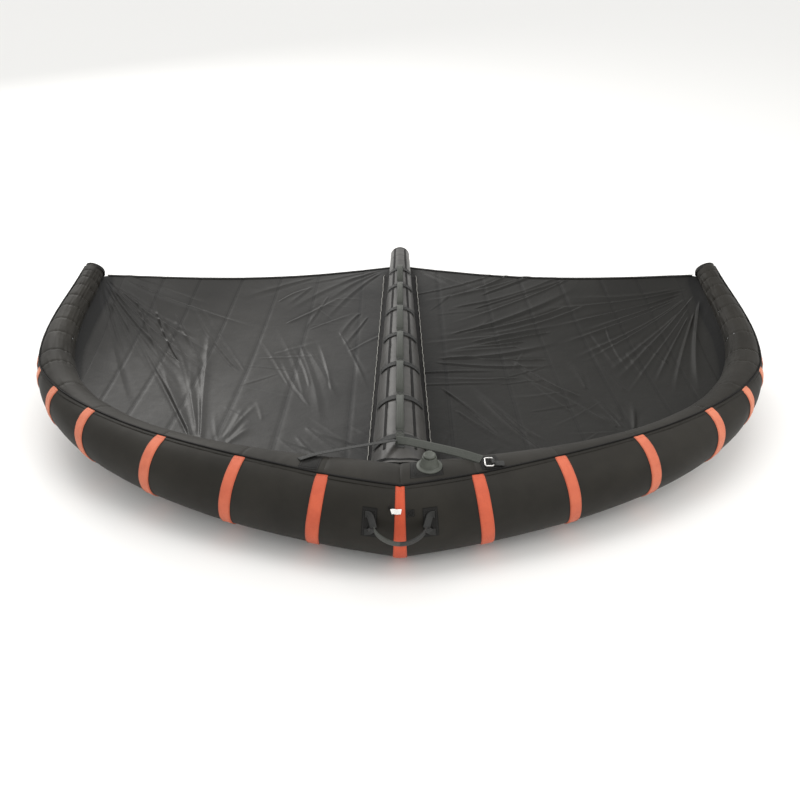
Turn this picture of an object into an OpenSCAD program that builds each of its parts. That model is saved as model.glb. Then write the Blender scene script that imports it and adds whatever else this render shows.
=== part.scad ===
// Inflatable hand-held wing, lying on its back with the handle side up.
// X runs to the right, Y from the leading edge to the trailing edge, Z up.
// The floor is z = 0 and the origin is under the middle of the wing.

/* [Leading edge] */
// Sideways reach of the tube's centreline from the middle to one tip
half_span = 1120; // [1080:5:1160]
// Distance that the tips lie behind the middle of the leading edge
sweep_depth = 1160; // [1120:5:1200]
// Sweep of the tube where its two halves meet, in degrees
sweep_angle = 9; // [8:0.1:11]
// Radius of the inflated tube in the middle
tube_r_mid = 125; // [121:1:129]
// Radius of the inflated tube at a tip
tube_r_tip = 32; // [28:1:38]
// Height of the tube's underside above the floor at a tip
tip_lift = 315; // [290:5:340]
// Length by which the slanted tip is shorter on its inner side
tip_slant = 26; // [10:1:60]
// Thickness of the tube's cloth
casing_wall = 1.4; // [1:0.1:2]

/* [Strut] */
// Distance from the middle of the leading edge to the strut's rear end
strut_length = 1900; // [1850:10:1950]
// Radius of the strut at its front
strut_r_front = 87; // [82:1:90]
// Radius of the strut at its rear end
strut_r_rear = 41; // [38:1:44]

/* [Webbing] */
// Width of the handle and strap webbing
webbing_w = 25; // [20:1:30]
// Thickness of the handle and strap webbing
webbing_t = 2.4; // [2:0.1:3]
// Width of the coloured bands over the tube's cross seams
band_w = 33; // [28:1:38]
// Distance between neighbouring handle anchors on the strut
handle_pitch = 238; // [230:1:242]
// Rise of a handle loop above its hinge line
handle_rise = 34; // [28:1:38]

/* [Canopy] */
// Thickness of the canopy cloth
canopy_t = 1.5; // [1:0.1:2]
// Depth to which the slack canopy sags towards the floor
canopy_sag = 40; // [20:1:50]
// Depth of the curve cut into the trailing edge of each half
edge_hollow = 40; // [20:5:70]

/* [Hidden] */

// Overall depth of the wing, from the front handle to the dome behind the strut
overall_front = -182.48;
overall_rear = 1916.69;
origin_y = (overall_front + overall_rear) / 2;

// Gap kept between neighbouring solids
gap = 0.5;
// Corners of the tube's polygonal cross section
sides = 20;
$fn = 48;

// Control points of the curve that the tube's centreline follows
mid_pull = 1518;
curve_1 = [mid_pull * cos(sweep_angle), mid_pull * sin(sweep_angle)];
curve_2 = [half_span - 35, sweep_depth - 175];
curve_3 = [half_span, sweep_depth];
// Stretch over which the tube's sections turn from the middle plane to square across the curve
turn_end = 0.08;

// How fast the tube thins along the curve, and how late it climbs
taper = 2.075;
lift_power = 1.106;
// Where the tip's slanted cut begins
slant_start = 0.86;

// Length trimmed off the whole tip
tip_trim = 20;

// Places of the cross seams along the curve, from the middle to the tip
mid_seams = [0, 0.0507, 0.1145, 0.195, 0.295, 0.389, 0.4805];
tip_seams = [0.4805, 0.532, 0.606, 0.662, 0.72, 0.768, 0.821, 0.865, 0.92, 1];
// Share of the curve that half a band covers
function half_band(t) = band_w / 2 / norm(bez_slope(t));

// Elevations on the tube's section: 0 is outward, 90 is up, -90 is the floor
band_low = -72;
ring_step = 18;
canopy_seam = 246;

black_cloth = [0.13, 0.13, 0.13];
grey_cloth = [0.24, 0.24, 0.23];
orange_cloth = [0.85, 0.36, 0.20];
webbing_grey = [0.30, 0.33, 0.29];
clear_film = [0.75, 0.78, 0.80];
valve_grey = [0.33, 0.36, 0.33];

// ---- Leading edge curve ----

function bez(t) =
    let (u = 1 - t)
    3 * u * u * t * curve_1 + 3 * u * t * t * curve_2 + t * t * t * curve_3;

function bez_slope(t) =
    let (u = 1 - t)
    3 * u * u * curve_1 + 6 * u * t * (curve_2 - curve_1) + 3 * t * t * (curve_3 - curve_2);

function smooth(x) =
    let (c = min(1, max(0, x)))
    c * c * (3 - 2 * c);

function tube_angle(t) =
    let (d = bez_slope(t))
    atan2(d[1], d[0]) * smooth(t / turn_end);

// Distance along the curve with a gentle start, and its rate of change
function ease(t) = t * t / (t + 0.04);

function ease_rate(t) = t * (t + 0.08) / pow(t + 0.04, 2);

taper_scale = (tube_r_mid - tube_r_tip) / (1 - exp(-taper * ease(1)));

function tube_r(t) = tube_r_mid - taper_scale * (1 - exp(-taper * ease(t)));

// Centre of the tube's section at place t, on the right half
function tube_centre(t) = [bez(t)[0], bez(t)[1], tube_r(t) + tip_lift * pow(t, lift_power)];

function tube_climb(t) =
    let (
        rise = lift_power * tip_lift * pow(t, lift_power - 1),
        shrink = taper_scale * taper * ease_rate(t) * exp(-taper * ease(t))
    )
    atan2(rise - shrink, norm(bez_slope(t)));

// Directions along the tube, outward from it, and up from it
function tube_along(t) =
    let (turn = tube_angle(t), climb = tube_climb(t))
    [cos(turn) * cos(climb), sin(turn) * cos(climb), sin(climb)];

function tube_out(t) = [sin(tube_angle(t)), -cos(tube_angle(t)), 0];

function tube_up(t) = cross(tube_out(t), tube_along(t));

// Shift along the tube that makes the tip's end oblique, for a point out from the axis
function slant(t, out) =
    (tip_slant / 2 * (out / tube_r(t) - 1) - tip_trim)
    * max(0, (t - slant_start) / (1 - slant_start));

// Share by which the sections' lower front edges lie further out than their tops
function lean(t) =
    0.1 * smooth(t / 0.05) * (1 - smooth((t - 0.08) / 0.14))
    - 0.3 * smooth((t - 0.2) / 0.1) * (1 - smooth((t - 0.42) / 0.15));

// Point on the tube's skin at place t and elevation a, lifted by off, on the right half
function skin(t, a, off = 0) =
    let (r = tube_r(t) + off)
    tube_centre(t) + r * (cos(a) * tube_out(t) + sin(a) * tube_up(t))
    + (slant(t, r * cos(a)) - lean(t) * r * sin(a)) * tube_along(t);

// Elevation of the piping seam, which climbs to the tube's top and falls to its outer side at the tip
function piping_angle(t) =
    36 + 26 * (1 - smooth(t / 0.5)) + 41 * sin(180 * min(1, t / 0.52)) - 24 * smooth((t - 0.88) / 0.12)
    + 7 * pow(max(0, 1 - t / 0.06), 2);

// ---- General solids from rings of points ----

// Joins rings of n points each into one closed solid with flat ends
module ring_solid(rings) {
    n = len(rings[0]);
    last = len(rings) - 1;
    points = [for (ring = rings) each ring];
    walls = [
        for (i = [0:last - 1])
        for (j = [0:n - 1])
        [i * n + j, i * n + (j + 1) % n, (i + 1) * n + (j + 1) % n, (i + 1) * n + j]
    ];
    near_end = [[for (j = [n - 1:-1:0]) j]];
    far_end = [[for (j = [0:n - 1]) last * n + j]];
    polyhedron(points, concat(walls, near_end, far_end), convexity = 6);
}

// Joins rings that each run out along one arc and back along another into a thin closed solid
module strip_solid(rings) {
    n = len(rings[0]);
    last = len(rings) - 1;
    points = [for (ring = rings) each ring];
    walls = [
        for (i = [0:last - 1])
        for (j = [0:n - 1])
        [i * n + j, i * n + (j + 1) % n, (i + 1) * n + (j + 1) % n, (i + 1) * n + j]
    ];
    near_end = [for (j = [0:n / 2 - 2]) [n - 1 - j, n - 2 - j, j + 1, j]];
    far_end = [for (j = [0:n / 2 - 2]) [for (k = [j, j + 1, n - 2 - j, n - 1 - j]) last * n + k]];
    polyhedron(points, concat(walls, near_end, far_end), convexity = 6);
}

// Joins two nested sets of rings into a pipe wall with open ends
module pipe_wall(outer, inner) {
    n = len(outer[0]);
    last = len(outer) - 1;
    shift = n * (last + 1);
    points = concat([for (ring = outer) each ring], [for (ring = inner) each ring]);
    outside = [
        for (i = [0:last - 1])
        for (j = [0:n - 1])
        [i * n + j, i * n + (j + 1) % n, (i + 1) * n + (j + 1) % n, (i + 1) * n + j]
    ];
    inside = [
        for (i = [0:last - 1])
        for (j = [0:n - 1])
        [shift + i * n + j, shift + (i + 1) * n + j, shift + (i + 1) * n + (j + 1) % n, shift + i * n + (j + 1) % n]
    ];
    near_rim = [
        for (j = [0:n - 1])
        [j, shift + j, shift + (j + 1) % n, (j + 1) % n]
    ];
    far_rim = [
        for (j = [0:n - 1])
        [last * n + j, last * n + (j + 1) % n, shift + last * n + (j + 1) % n, shift + last * n + j]
    ];
    polyhedron(points, concat(outside, inside, near_rim, far_rim), convexity = 10);
}

// Hose that fills the strut from the leading edge
hose_r = 11;
hose_z = tube_r_mid;

module on_floor_plan() {
    translate([0, -origin_y, 0])
    children();
}

module left_side() {
    mirror([1, 0, 0])
    children();
}

// ---- Leading edge ----

function tube_ring(t, off, n = sides) = [for (j = [0:n - 1]) skin(t, -90 + 360 * j / n, off)];

function steps(a, b, count) = [for (i = [0:count]) a + (b - a) * i / count];

module tube_skin(places) {
    outer = [for (t = places) tube_ring(t, 0)];
    inner = [for (t = places) tube_ring(t, -casing_wall)];
    pipe_wall(outer, inner);
}

module le_panel(k) {
    a = mid_seams[k - 1];
    b = mid_seams[k];
    on_floor_plan()
    tube_skin([a, a + half_band(a), (a + b) / 2, b - half_band(b), b]);
}

// Middle panel, with half of the hole that the air hose passes through
module le_middle_panel() {
    difference() {
        le_panel(1);
        on_floor_plan()
        translate([0, tube_r_mid - 30, hose_z])
        rotate([-90, 0, 0])
        cylinder(r = hose_r + gap, h = 60);
    }
}

module le_tip() {
    last = len(tip_seams) - 1;
    places = [
        for (i = [0:last])
        let (t = tip_seams[i], half = half_band(t))
        each (i == 0 ? [t, t + half] : i == last ? [t] : [t - half, t, t + half])
    ];
    on_floor_plan()
    tube_skin(places);
}

module le_tip_l() {
    color(grey_cloth)
    left_side()
    le_tip();
}

module le_tip_r() {
    color(grey_cloth)
    le_tip();
}

// Elevations of a band's points, which match the corners of the tube
function band_arc(t) =
    let (high = piping_angle(t) - max(4, 260 / tube_r(t)))
    [for (a = [band_low:ring_step:high - 3]) a, high];

// One band over the seam at place t, from the piping down the front of the tube
module seam_band(t) {
    half = half_band(t);
    arc = band_arc(t);
    last = len(arc) - 1;
    under = 2 * gap;
    over = under + 1.2;
    rings = [
        for (p = [t - half, t, t + half])
        concat(
            [for (a = arc) skin(p, a, under)],
            [for (i = [last:-1:0]) skin(p, arc[i], over)]
        )
    ];
    on_floor_plan()
    strip_solid([for (i = [2:-1:0]) rings[i]]);
}

module seam_band_mid() {
    arc = band_arc(0);
    last = len(arc) - 1;
    places = [half_band(0), 0];
    rings = [
        for (p = places)
        concat(
            [for (a = arc) skin(p, a, gap)],
            [for (i = [last:-1:0]) skin(p, arc[i], gap + 1.2)]
        )
    ];
    left_rings = [for (ring = rings) [for (q = ring) [-q[0], q[1], q[2]]]];
    color(orange_cloth)
    on_floor_plan()
    strip_solid([rings[0], rings[1], left_rings[0]]);
}

module tip_bands_one_side() {
    for (i = [1:len(tip_seams) - 2])
    seam_band(tip_seams[i]);
}

module tip_bands() {
    color(orange_cloth) {
        tip_bands_one_side();
        left_side()
        tip_bands_one_side();
    }
}

// Round piping sewn along the tube, as one cord from tip to tip
piping_r = 2.6;

function piping_ring(t, side) =
    let (centre_angle = piping_angle(t), lift = piping_r + gap)
    [
        for (j = [0:5])
        let (
            a = centre_angle + 180 / PI * piping_r * cos(60 * j) / tube_r(t),
            p = skin(t, a, lift + piping_r * sin(60 * j))
        )
        [side * p[0], p[1], p[2]]
    ];

module le_piping() {
    places = steps(0.012, 0.99, 34);
    rings = concat(
        [for (i = [len(places) - 1:-1:0]) piping_ring(places[i], -1)],
        [piping_ring(0, 1)],
        [for (t = places) piping_ring(t, 1)]
    );
    color(black_cloth)
    on_floor_plan()
    ring_solid(rings);
}

// Flat sewn closure of a tip
module tip_cap() {
    near = tube_ring(1, 0);
    out = tube_along(1);
    centre = tube_centre(1) - (tip_slant / 2 + tip_trim) * out;
    base = [for (p = near) p + out * gap];
    rim = [for (p = near) p + out * 3];
    crown = [for (p = near) centre + (p - centre) * 0.72 + out * 6];
    on_floor_plan()
    ring_solid([base, rim, crown]);
}

module tip_cap_l() {
    color(black_cloth)
    left_side()
    tip_cap();
}

module tip_cap_r() {
    color(black_cloth)
    tip_cap();
}

// Air bladder that fills the tube, shown as one film bag
module le_bladder() {
    corners = 10;
    slack = 5;
    film = 1;
    places = [0, 0.02, 0.04, 0.07, 0.10, 0.14, 0.19, 0.24, 0.29, 0.34, 0.40, 0.47, 0.55, 0.64, 0.74, 0.84, 0.94];
    outer_r = [for (t = places) tube_ring(t, -slack, corners)];
    inner_r = [for (t = places) tube_ring(t, -slack - film, corners)];
    last = len(places) - 1;
    flip = function (rings)
        [for (i = [last:-1:1]) [for (p = rings[i]) [-p[0], p[1], p[2]]]];
    color(clear_film)
    on_floor_plan()
    pipe_wall(concat(flip(outer_r), outer_r), concat(flip(inner_r), inner_r));
}

// ---- Strut ----

// Place from which the strut's taper is measured
strut_start = 130;

function strut_r(y) =
    strut_r_front - (strut_r_front - strut_r_rear) * (y - strut_start) / (strut_length - strut_start);

// Height of the strut's axis, which falls from the tube's centre to the floor behind
strut_z_front = 122;
strut_z_rear = strut_r_rear + 14;

function strut_z(y) =
    strut_z_front + (strut_z_rear - strut_z_front) * (y - strut_start) / (strut_length - strut_start);

axis_slope = atan((strut_z_front - strut_z_rear) / (strut_length - strut_start));
crown_slope = atan((strut_z_front + strut_r_front - strut_z_rear - strut_r_rear) / (strut_length - strut_start));

function crown_z(y) = strut_z(y) + strut_r(y);

// Rear surface of the leading edge at sideways place x and height z
function le_back(x, z) =
    abs(x) * tan(sweep_angle) * 1.06 + sqrt(max(0, pow(tube_r_mid, 2) - pow(z - tube_r_mid, 2)));

function strut_ring(y, off, n = sides) = [
    for (j = [0:n - 1])
    let (a = -90 + 360 * j / n, r = strut_r(y) + off)
    [-r * cos(a), y, strut_z(y) + r * sin(a)]
];

// Point on the strut's skin at station y and elevation a, lifted by off
function strut_point(y, a, off) =
    let (r = strut_r(y) + off)
    [r * cos(a), y, strut_z(y) + r * sin(a)];

// First ring of the strut, cut to sit against the leading edge
function strut_front_ring(off, back, n = sides) = [
    for (p = strut_ring(tube_r_mid, off, n)) [p[0], le_back(p[0], p[2]) + back, p[2]]
];

module strut_casing() {
    stations = [260, 620, 1040, 1460, strut_length];
    outer = concat([strut_front_ring(0, 5)], [for (y = stations) strut_ring(y, 0)]);
    inner = concat([strut_front_ring(-casing_wall, 5)], [for (y = stations) strut_ring(y, -casing_wall)]);
    color(grey_cloth)
    on_floor_plan()
    pipe_wall(outer, inner);
}

module strut_bladder() {
    corners = 10;
    slack = 4.5;
    film = 1;
    stations = [300, 800, 1350, strut_length - 30];
    outer = concat([strut_front_ring(-slack, 22, corners)], [for (y = stations) strut_ring(y, -slack, corners)]);
    inner = concat(
        [strut_front_ring(-slack - film, 22, corners)],
        [for (y = stations) strut_ring(y, -slack - film, corners)]
    );
    color(clear_film)
    on_floor_plan()
    pipe_wall(outer, inner);
}

// Domed cloth end of the strut
module strut_end_cap() {
    dome_r = 60;
    rim = strut_r_rear;
    sink = sqrt(dome_r * dome_r - rim * rim);
    color(black_cloth)
    on_floor_plan()
    translate([0, strut_length + gap, strut_z(strut_length)])
    rotate([-90, 0, 0])
    rotate_extrude()
    intersection() {
        translate([0, -sink])
        circle(r = dome_r);
        square([rim, dome_r]);
    }
}

first_anchor = 237;
anchor_count = 7;
function anchor_y(i) = min(first_anchor + handle_pitch * i, 1613);
foot_half = 16;
foot_rise = 9;

module along_crown(y, lift) {
    translate([0, y, crown_z(y) + lift])
    rotate([-crown_slope, 0, 0])
    children();
}

// Webbing sewn along the strut's crown, with the raised feet of the handles
module strut_webbing() {
    start = 176;
    length = anchor_y(anchor_count - 1) + 40 - start;
    rings = [
        for (y = [start, start + length])
        let (r = strut_r(y), lean = asin(webbing_w / 2 / r))
        concat(
            [for (i = [-2:2]) strut_point(y, 90 + lean * i / 2, gap)],
            [for (i = [2:-1:-2]) strut_point(y, 90 + lean * i / 2, gap + 1.6)]
        )
    ];
    color(webbing_grey)
    on_floor_plan()
    strip_solid([rings[1], rings[0]]);
}

strap_lift = gap + 1.6 + 2 * gap;
strap_t = 1.4;

// Straps sewn over the strut at each handle anchor, each with a raised foot for the handles
module strut_cross_straps() {
    strap_half = 62;
    color(webbing_grey)
    on_floor_plan()
    for (i = [0:anchor_count - 1]) {
        y = anchor_y(i);
        r = strut_r(y) + strap_lift;
        translate([0, y, strut_z(y)])
        rotate([-axis_slope, 0, 0])
        translate([0, webbing_w / 2, 0])
        rotate([90, 0, 0])
        rotate([0, 0, 90 - strap_half])
        rotate_extrude(angle = 2 * strap_half)
        translate([r, 0])
        square([strap_t, webbing_w]);
        foot(y);
    }
}

// Folded webbing end that stands on a cross strap
module foot(y) {
    along_crown(y, strap_lift + strap_t - 0.3)
    rotate([90, 0, 90])
    translate([0, 0, -webbing_w / 2])
    linear_extrude(webbing_w)
    polygon([[-foot_half, 0], [foot_half, 0], [foot_half - 1, foot_rise], [-foot_half + 1, foot_rise]]);
}

hinge_lift = 10;

// Side view of a webbing arch of the given span
function arch_side(span, rise, thick, n = 12) = concat(
    [for (i = [0:n]) [span * i / n, rise * pow(sin(180 * i / n), 0.6)]],
    [for (i = [n:-1:0]) [span * i / n, thick + rise * pow(sin(180 * i / n), 0.6)]]
);

// Handle loop between two anchors, free to swing to either side
module strut_handle(k) {
    start = anchor_y(k - 1) + foot_half + 2;
    end = anchor_y(k) - foot_half - 2;
    color(webbing_grey)
    on_floor_plan()
    along_crown(start, hinge_lift)
    rotate([90, 0, 90])
    translate([0, 0, -webbing_w / 2])
    linear_extrude(webbing_w)
    polygon(arch_side(end - start, handle_rise, webbing_t));
}

// ---- V strap over the strut ----

anchor_place = 0.0616;
apex_y = 205;
strap_rise = 213;

// Flat ribbon that follows a path, with its width along the given direction
module ribbon(path, across, wide, thick) {
    lift = [0, 0, thick / 2];
    rings = [
        for (i = [0:len(path) - 1])
        let (p = path[i], side = across[i] / norm(across[i]) * wide / 2)
        [p + side - lift, p + side + lift, p - side + lift, p - side - lift]
    ];
    ring_solid(rings);
}

// Half of the strap that runs from its left patch over the strut's crown
module v_strap_l() {
    path = [[-0.4, apex_y, strap_rise], [-226, 88, 250.5], [-262, 68, 251.5]];
    color(webbing_grey)
    on_floor_plan()
    ribbon(path, [[0, 1, 0], [-125, 225, 0], [-125, 225, 0]], webbing_w, webbing_t);
}

// Half of the strap that runs from the crown to the ring on the right
module v_strap_r() {
    path = [[218, 56, 254], [160, 92, 250], [0.4, apex_y, strap_rise]];
    color(webbing_grey)
    on_floor_plan()
    ribbon(path, [[125, 225, 0], [125, 225, 0], [0, 1, 0]], webbing_w, webbing_t);
}

// Cloth patches on the tube that take the strap's ends
module anchor_patch() {
    half = 0.0068;
    arc = [80, 90, 108, 112];
    rings = [
        for (p = [anchor_place + half, anchor_place, anchor_place - half])
        concat(
            [for (a = arc) skin(p, a, 2 * gap)],
            [for (i = [3:-1:0]) skin(p, arc[i], 2 * gap + 1.4)]
        )
    ];
    on_floor_plan()
    strip_solid(rings);
}

module v_strap_anchors() {
    color(black_cloth) {
        anchor_patch();
        left_side()
        anchor_patch();
    }
}

ring_w = 40;
ring_l = 26;
ring_bar = 4;
ring_z = 254.1;
ring_x = 238;
ring_y = 42;

// Flat metal ring at the strap's right end
module strap_ring() {
    color("silver")
    on_floor_plan()
    translate([ring_x, ring_y, ring_z])
    linear_extrude(ring_bar)
    difference() {
        square([ring_l, ring_w], center = true);
        square([ring_l - 2 * ring_bar, ring_w - 2 * ring_bar], center = true);
    }
}

// Webbing loop that holds the ring down on its patch
module ring_loop() {
    bar_x = ring_x + ring_l / 2 - ring_bar / 2;
    half_hole = ring_bar / 2 + 0.8;
    wall = 1.4;
    color(black_cloth)
    on_floor_plan()
    translate([bar_x, ring_y + webbing_w / 2 - 1, ring_z + ring_bar / 2])
    rotate([90, 0, 0])
    linear_extrude(webbing_w - 2)
    difference() {
        union() {
            circle(r = half_hole + 1.2 + wall);
            translate([0, -half_hole - 1.2 - wall])
            square([32, 2 * wall]);
        }
        circle(r = half_hole + 1.2);
    }
}

// ---- Valve ----

valve_neck_r = 19;
valve_port_r = 8;
valve_x = 78;
flange_r = 35;

module valve_place() {
    on_floor_plan()
    translate([valve_x, 30, 2 * tube_r_mid + 2])
    children();
}

// Flange, conical body and neck, turned in one piece around the air passage
module valve_base() {
    passage = 13;
    ledge_z = -4;
    color(valve_grey)
    valve_place()
    rotate_extrude()
    difference() {
        polygon([
            [0, -12], [valve_neck_r, -12], [valve_neck_r, 0], [flange_r, 0], [flange_r, 2.5],
            [27, 4], [25, 8], [19, 30], [0, 30]
        ]);
        translate([0, -13])
        square([valve_port_r, 50]);
        translate([0, ledge_z])
        square([passage, 12]);
    }
}

// Non-return disc that the pump's pin pushes down
module valve_plunger() {
    color("black")
    valve_place()
    rotate_extrude()
    polygon([[0, 3.6], [12, 3.6], [12, 6], [3, 7.5], [3, 26], [0, 26]]);
}

cap_hinge = [0, 21, 33];

// Round cap over the air passage, on its flexible tether
module valve_cap() {
    color(valve_grey)
    valve_place() {
        rotate_extrude()
        polygon([[0, 31], [17, 31], [17, 36], [14, 38], [0, 38]]);
        translate([-5, 14, 31.5])
        cube([10, 8, 3]);
    }
}

// ---- Canopy ----

first_column = 0.003;
last_column = 0.975;
columns = 16;
rows = 9;
rear_z = 2.6;
edge_sag = 14;

function column_place(w) = first_column + (last_column - first_column) * w * w;

function canopy_front(w) = skin(column_place(w), canopy_seam, gap + 1.8);

function canopy_rear(w) =
    let (corner = canopy_front(1))
    [
        4 + (corner[0] - 20 - 4) * w,
        strut_length - 12 + (corner[1] + 12 - strut_length + 12) * w - edge_hollow * sin(180 * w),
        rear_z + (corner[2] - rear_z) * w - edge_sag * sin(180 * w)
    ];

// Point of the canopy's upper face, from the leading edge (v = 0) to the trailing edge (v = 1)
function canopy_point(w, v) =
    let (
        a = canopy_front(w),
        b = canopy_rear(w),
        p = a + (b - a) * v,
        drop = canopy_sag * sin(180 * w) * sin(180 * v)
    )
    [p[0], p[1], max(p[2] - drop, min(p[2], canopy_t + 4))];

module canopy_half() {
    upper = [
        for (i = [0:columns])
        for (j = [0:rows])
        canopy_point(i / columns, j / rows)
    ];
    lower = [for (p = upper) p - [0, 0, canopy_t]];
    n = rows + 1;
    base = len(upper);
    top_faces = [
        for (i = [0:columns - 1])
        for (j = [0:rows - 1])
        let (a = i * n + j)
        each [[a, a + 1, a + n + 1], [a, a + n + 1, a + n]]
    ];
    under_faces = [for (f = top_faces) [f[2] + base, f[1] + base, f[0] + base]];
    near_side = [for (j = [0:rows - 1]) [j, j + base, j + 1 + base, j + 1]];
    far_side = [
        for (j = [0:rows - 1])
        let (a = columns * n + j)
        [a, a + 1, a + 1 + base, a + base]
    ];
    front_side = [
        for (i = [0:columns - 1])
        let (a = i * n)
        [a, a + n, a + n + base, a + base]
    ];
    rear_side = [
        for (i = [0:columns - 1])
        let (a = i * n + rows)
        [a, a + base, a + n + base, a + n]
    ];
    on_floor_plan()
    polyhedron(concat(upper, lower), concat(top_faces, under_faces, near_side, far_side, front_side, rear_side),
        convexity = 6);
}

module canopy_l() {
    color(black_cloth)
    left_side()
    canopy_half();
}

module canopy_r() {
    color(black_cloth)
    canopy_half();
}

// Folded hem along the trailing edge of one half
module hem_half() {
    hem_w = 11;
    hem_t = 3;
    rings = [
        for (i = [0:columns])
        let (p = canopy_rear(i / columns) + [0, gap, (hem_t - canopy_t) / 2])
        [p, p + [0, hem_w, 0], p + [0, hem_w, -hem_t], p + [0, 0, -hem_t]]
    ];
    on_floor_plan()
    ring_solid(rings);
}

module trailing_hem() {
    color(black_cloth) {
        hem_half();
        left_side()
        hem_half();
    }
}

// Column of the canopy that passes through sideways place x at depth share v
function column_at(x, v, low = 0, high = 0.5, n = 12) =
    let (mid = (low + high) / 2)
    n == 0 ? mid
    : canopy_point(mid, v)[0] < x ? column_at(x, v, mid, high, n - 1)
    : column_at(x, v, low, mid, n - 1);

// Cloth strips that join the strut's sides to the canopy
module skirt_half() {
    cling = -34;
    skirt_t = 1.4;
    spread = 12;
    rings = [
        for (i = [0:8])
        let (
            v = 0.05 + 0.88 * i / 8,
            y = canopy_point(0, v)[1],
            x = strut_r(y) * cos(cling) + spread,
            low = canopy_point(column_at(x, v), v) + [0, 0, 3],
            r = strut_r(low[1]) + 2 * gap,
            high = [r * cos(cling), low[1], strut_z(low[1]) + r * sin(cling)]
        )
        [high, low, low + [2, 0, skirt_t], high + [2, 0, skirt_t]]
    ];
    on_floor_plan()
    ring_solid(rings);
}

module strut_skirts() {
    color(black_cloth) {
        skirt_half();
        left_side()
        skirt_half();
    }
}

// ---- Front handle ----

handle_half = 66;
handle_angle = 20;
handle_stand = 16;
handle_hang = 15;
handle_depth = 46;
handle_hinge = [
    0,
    -(tube_r_mid + handle_stand) * cos(handle_angle),
    tube_r_mid + (tube_r_mid + handle_stand) * sin(handle_angle)
];

// Webbing grip that hangs in front of the tube
module front_handle() {
    color(webbing_grey)
    on_floor_plan()
    translate(handle_hinge)
    rotate([180 + handle_hang, 0, 0])
    translate([-handle_half, 0, -webbing_w / 2])
    linear_extrude(webbing_w)
    polygon(arch_side(2 * handle_half, handle_depth, webbing_t, 14));
}

// Patches that the grip's ends are sewn to
module front_handle_patches() {
    near = 0.0139;
    far = 0.022;
    arc = [2, 18, 36, 38];
    rings = [
        for (p = [far, near])
        concat(
            [for (a = arc) skin(p, a, gap)],
            [for (i = [3:-1:0]) skin(p, arc[i], gap + 2)]
        )
    ];
    color(black_cloth)
    on_floor_plan() {
        strip_solid(rings);
        left_side()
        strip_solid(rings);
    }
}

tag_place = [-28, -95.8, 211.7];

// Small cord loop sewn beside the middle band
module tag_loop() {
    color("black")
    on_floor_plan()
    translate(tag_place)
    rotate([0, 90, 0])
    rotate_extrude($fn = 24)
    translate([6, 0])
    circle(r = 1.5, $fn = 16);
}

// Loose folded cloth tab on the small loop
module pull_tag() {
    tab_l = 26;
    tab_w = 14;
    color("white")
    on_floor_plan()
    translate(tag_place + [5, -12, -4])
    rotate([60, 0, 0])
    translate([0, -tab_w / 2, 0])
    cube([tab_l, tab_w, 1.6]);
}

// ---- Air hose between the two bladders ----

module air_hose() {
    color(clear_film)
    on_floor_plan()
    translate([0, tube_r_mid - 13, hose_z])
    rotate([-90, 0, 0])
    difference() {
        cylinder(r = hose_r, h = 34);
        translate([0, 0, -1])
        cylinder(r = hose_r - 2, h = 36);
    }
}

module le_panel_r1() {
    color(grey_cloth)
    difference() {
        le_middle_panel();
        valve_place()
        translate([0, 0, -30])
        cylinder(r = valve_neck_r + gap, h = 60);
    }
}

module le_panel_l1() {
    color(grey_cloth)
    left_side()
    le_middle_panel();
}

module le_panel_r2() {
    color(grey_cloth)
    le_panel(2);
}

module le_panel_l2() {
    color(grey_cloth)
    left_side()
    le_panel(2);
}

module le_panel_r3() {
    color(grey_cloth)
    le_panel(3);
}

module le_panel_l3() {
    color(grey_cloth)
    left_side()
    le_panel(3);
}

module le_panel_r4() {
    color(grey_cloth)
    le_panel(4);
}

module le_panel_l4() {
    color(grey_cloth)
    left_side()
    le_panel(4);
}

module le_panel_r5() {
    color(grey_cloth)
    le_panel(5);
}

module le_panel_l5() {
    color(grey_cloth)
    left_side()
    le_panel(5);
}

module le_panel_r6() {
    color(grey_cloth)
    le_panel(6);
}

module le_panel_l6() {
    color(grey_cloth)
    left_side()
    le_panel(6);
}

module seam_band_r1() {
    color(orange_cloth)
    seam_band(mid_seams[1]);
}

module seam_band_l1() {
    color(orange_cloth)
    left_side()
    seam_band(mid_seams[1]);
}

module seam_band_r2() {
    color(orange_cloth)
    seam_band(mid_seams[2]);
}

module seam_band_l2() {
    color(orange_cloth)
    left_side()
    seam_band(mid_seams[2]);
}

module seam_band_r3() {
    color(orange_cloth)
    seam_band(mid_seams[3]);
}

module seam_band_l3() {
    color(orange_cloth)
    left_side()
    seam_band(mid_seams[3]);
}

module seam_band_r4() {
    color(orange_cloth)
    seam_band(mid_seams[4]);
}

module seam_band_l4() {
    color(orange_cloth)
    left_side()
    seam_band(mid_seams[4]);
}

module seam_band_r5() {
    color(orange_cloth)
    seam_band(mid_seams[5]);
}

module seam_band_l5() {
    color(orange_cloth)
    left_side()
    seam_band(mid_seams[5]);
}

module seam_band_r6() {
    color(orange_cloth)
    seam_band(mid_seams[6]);
}

module seam_band_l6() {
    color(orange_cloth)
    left_side()
    seam_band(mid_seams[6]);
}

module strut_handle_1() {
    strut_handle(1);
}

module strut_handle_2() {
    strut_handle(2);
}

module strut_handle_3() {
    strut_handle(3);
}

module strut_handle_4() {
    strut_handle(4);
}

module strut_handle_5() {
    strut_handle(5);
}

module strut_handle_6() {
    strut_handle(6);
}

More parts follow.
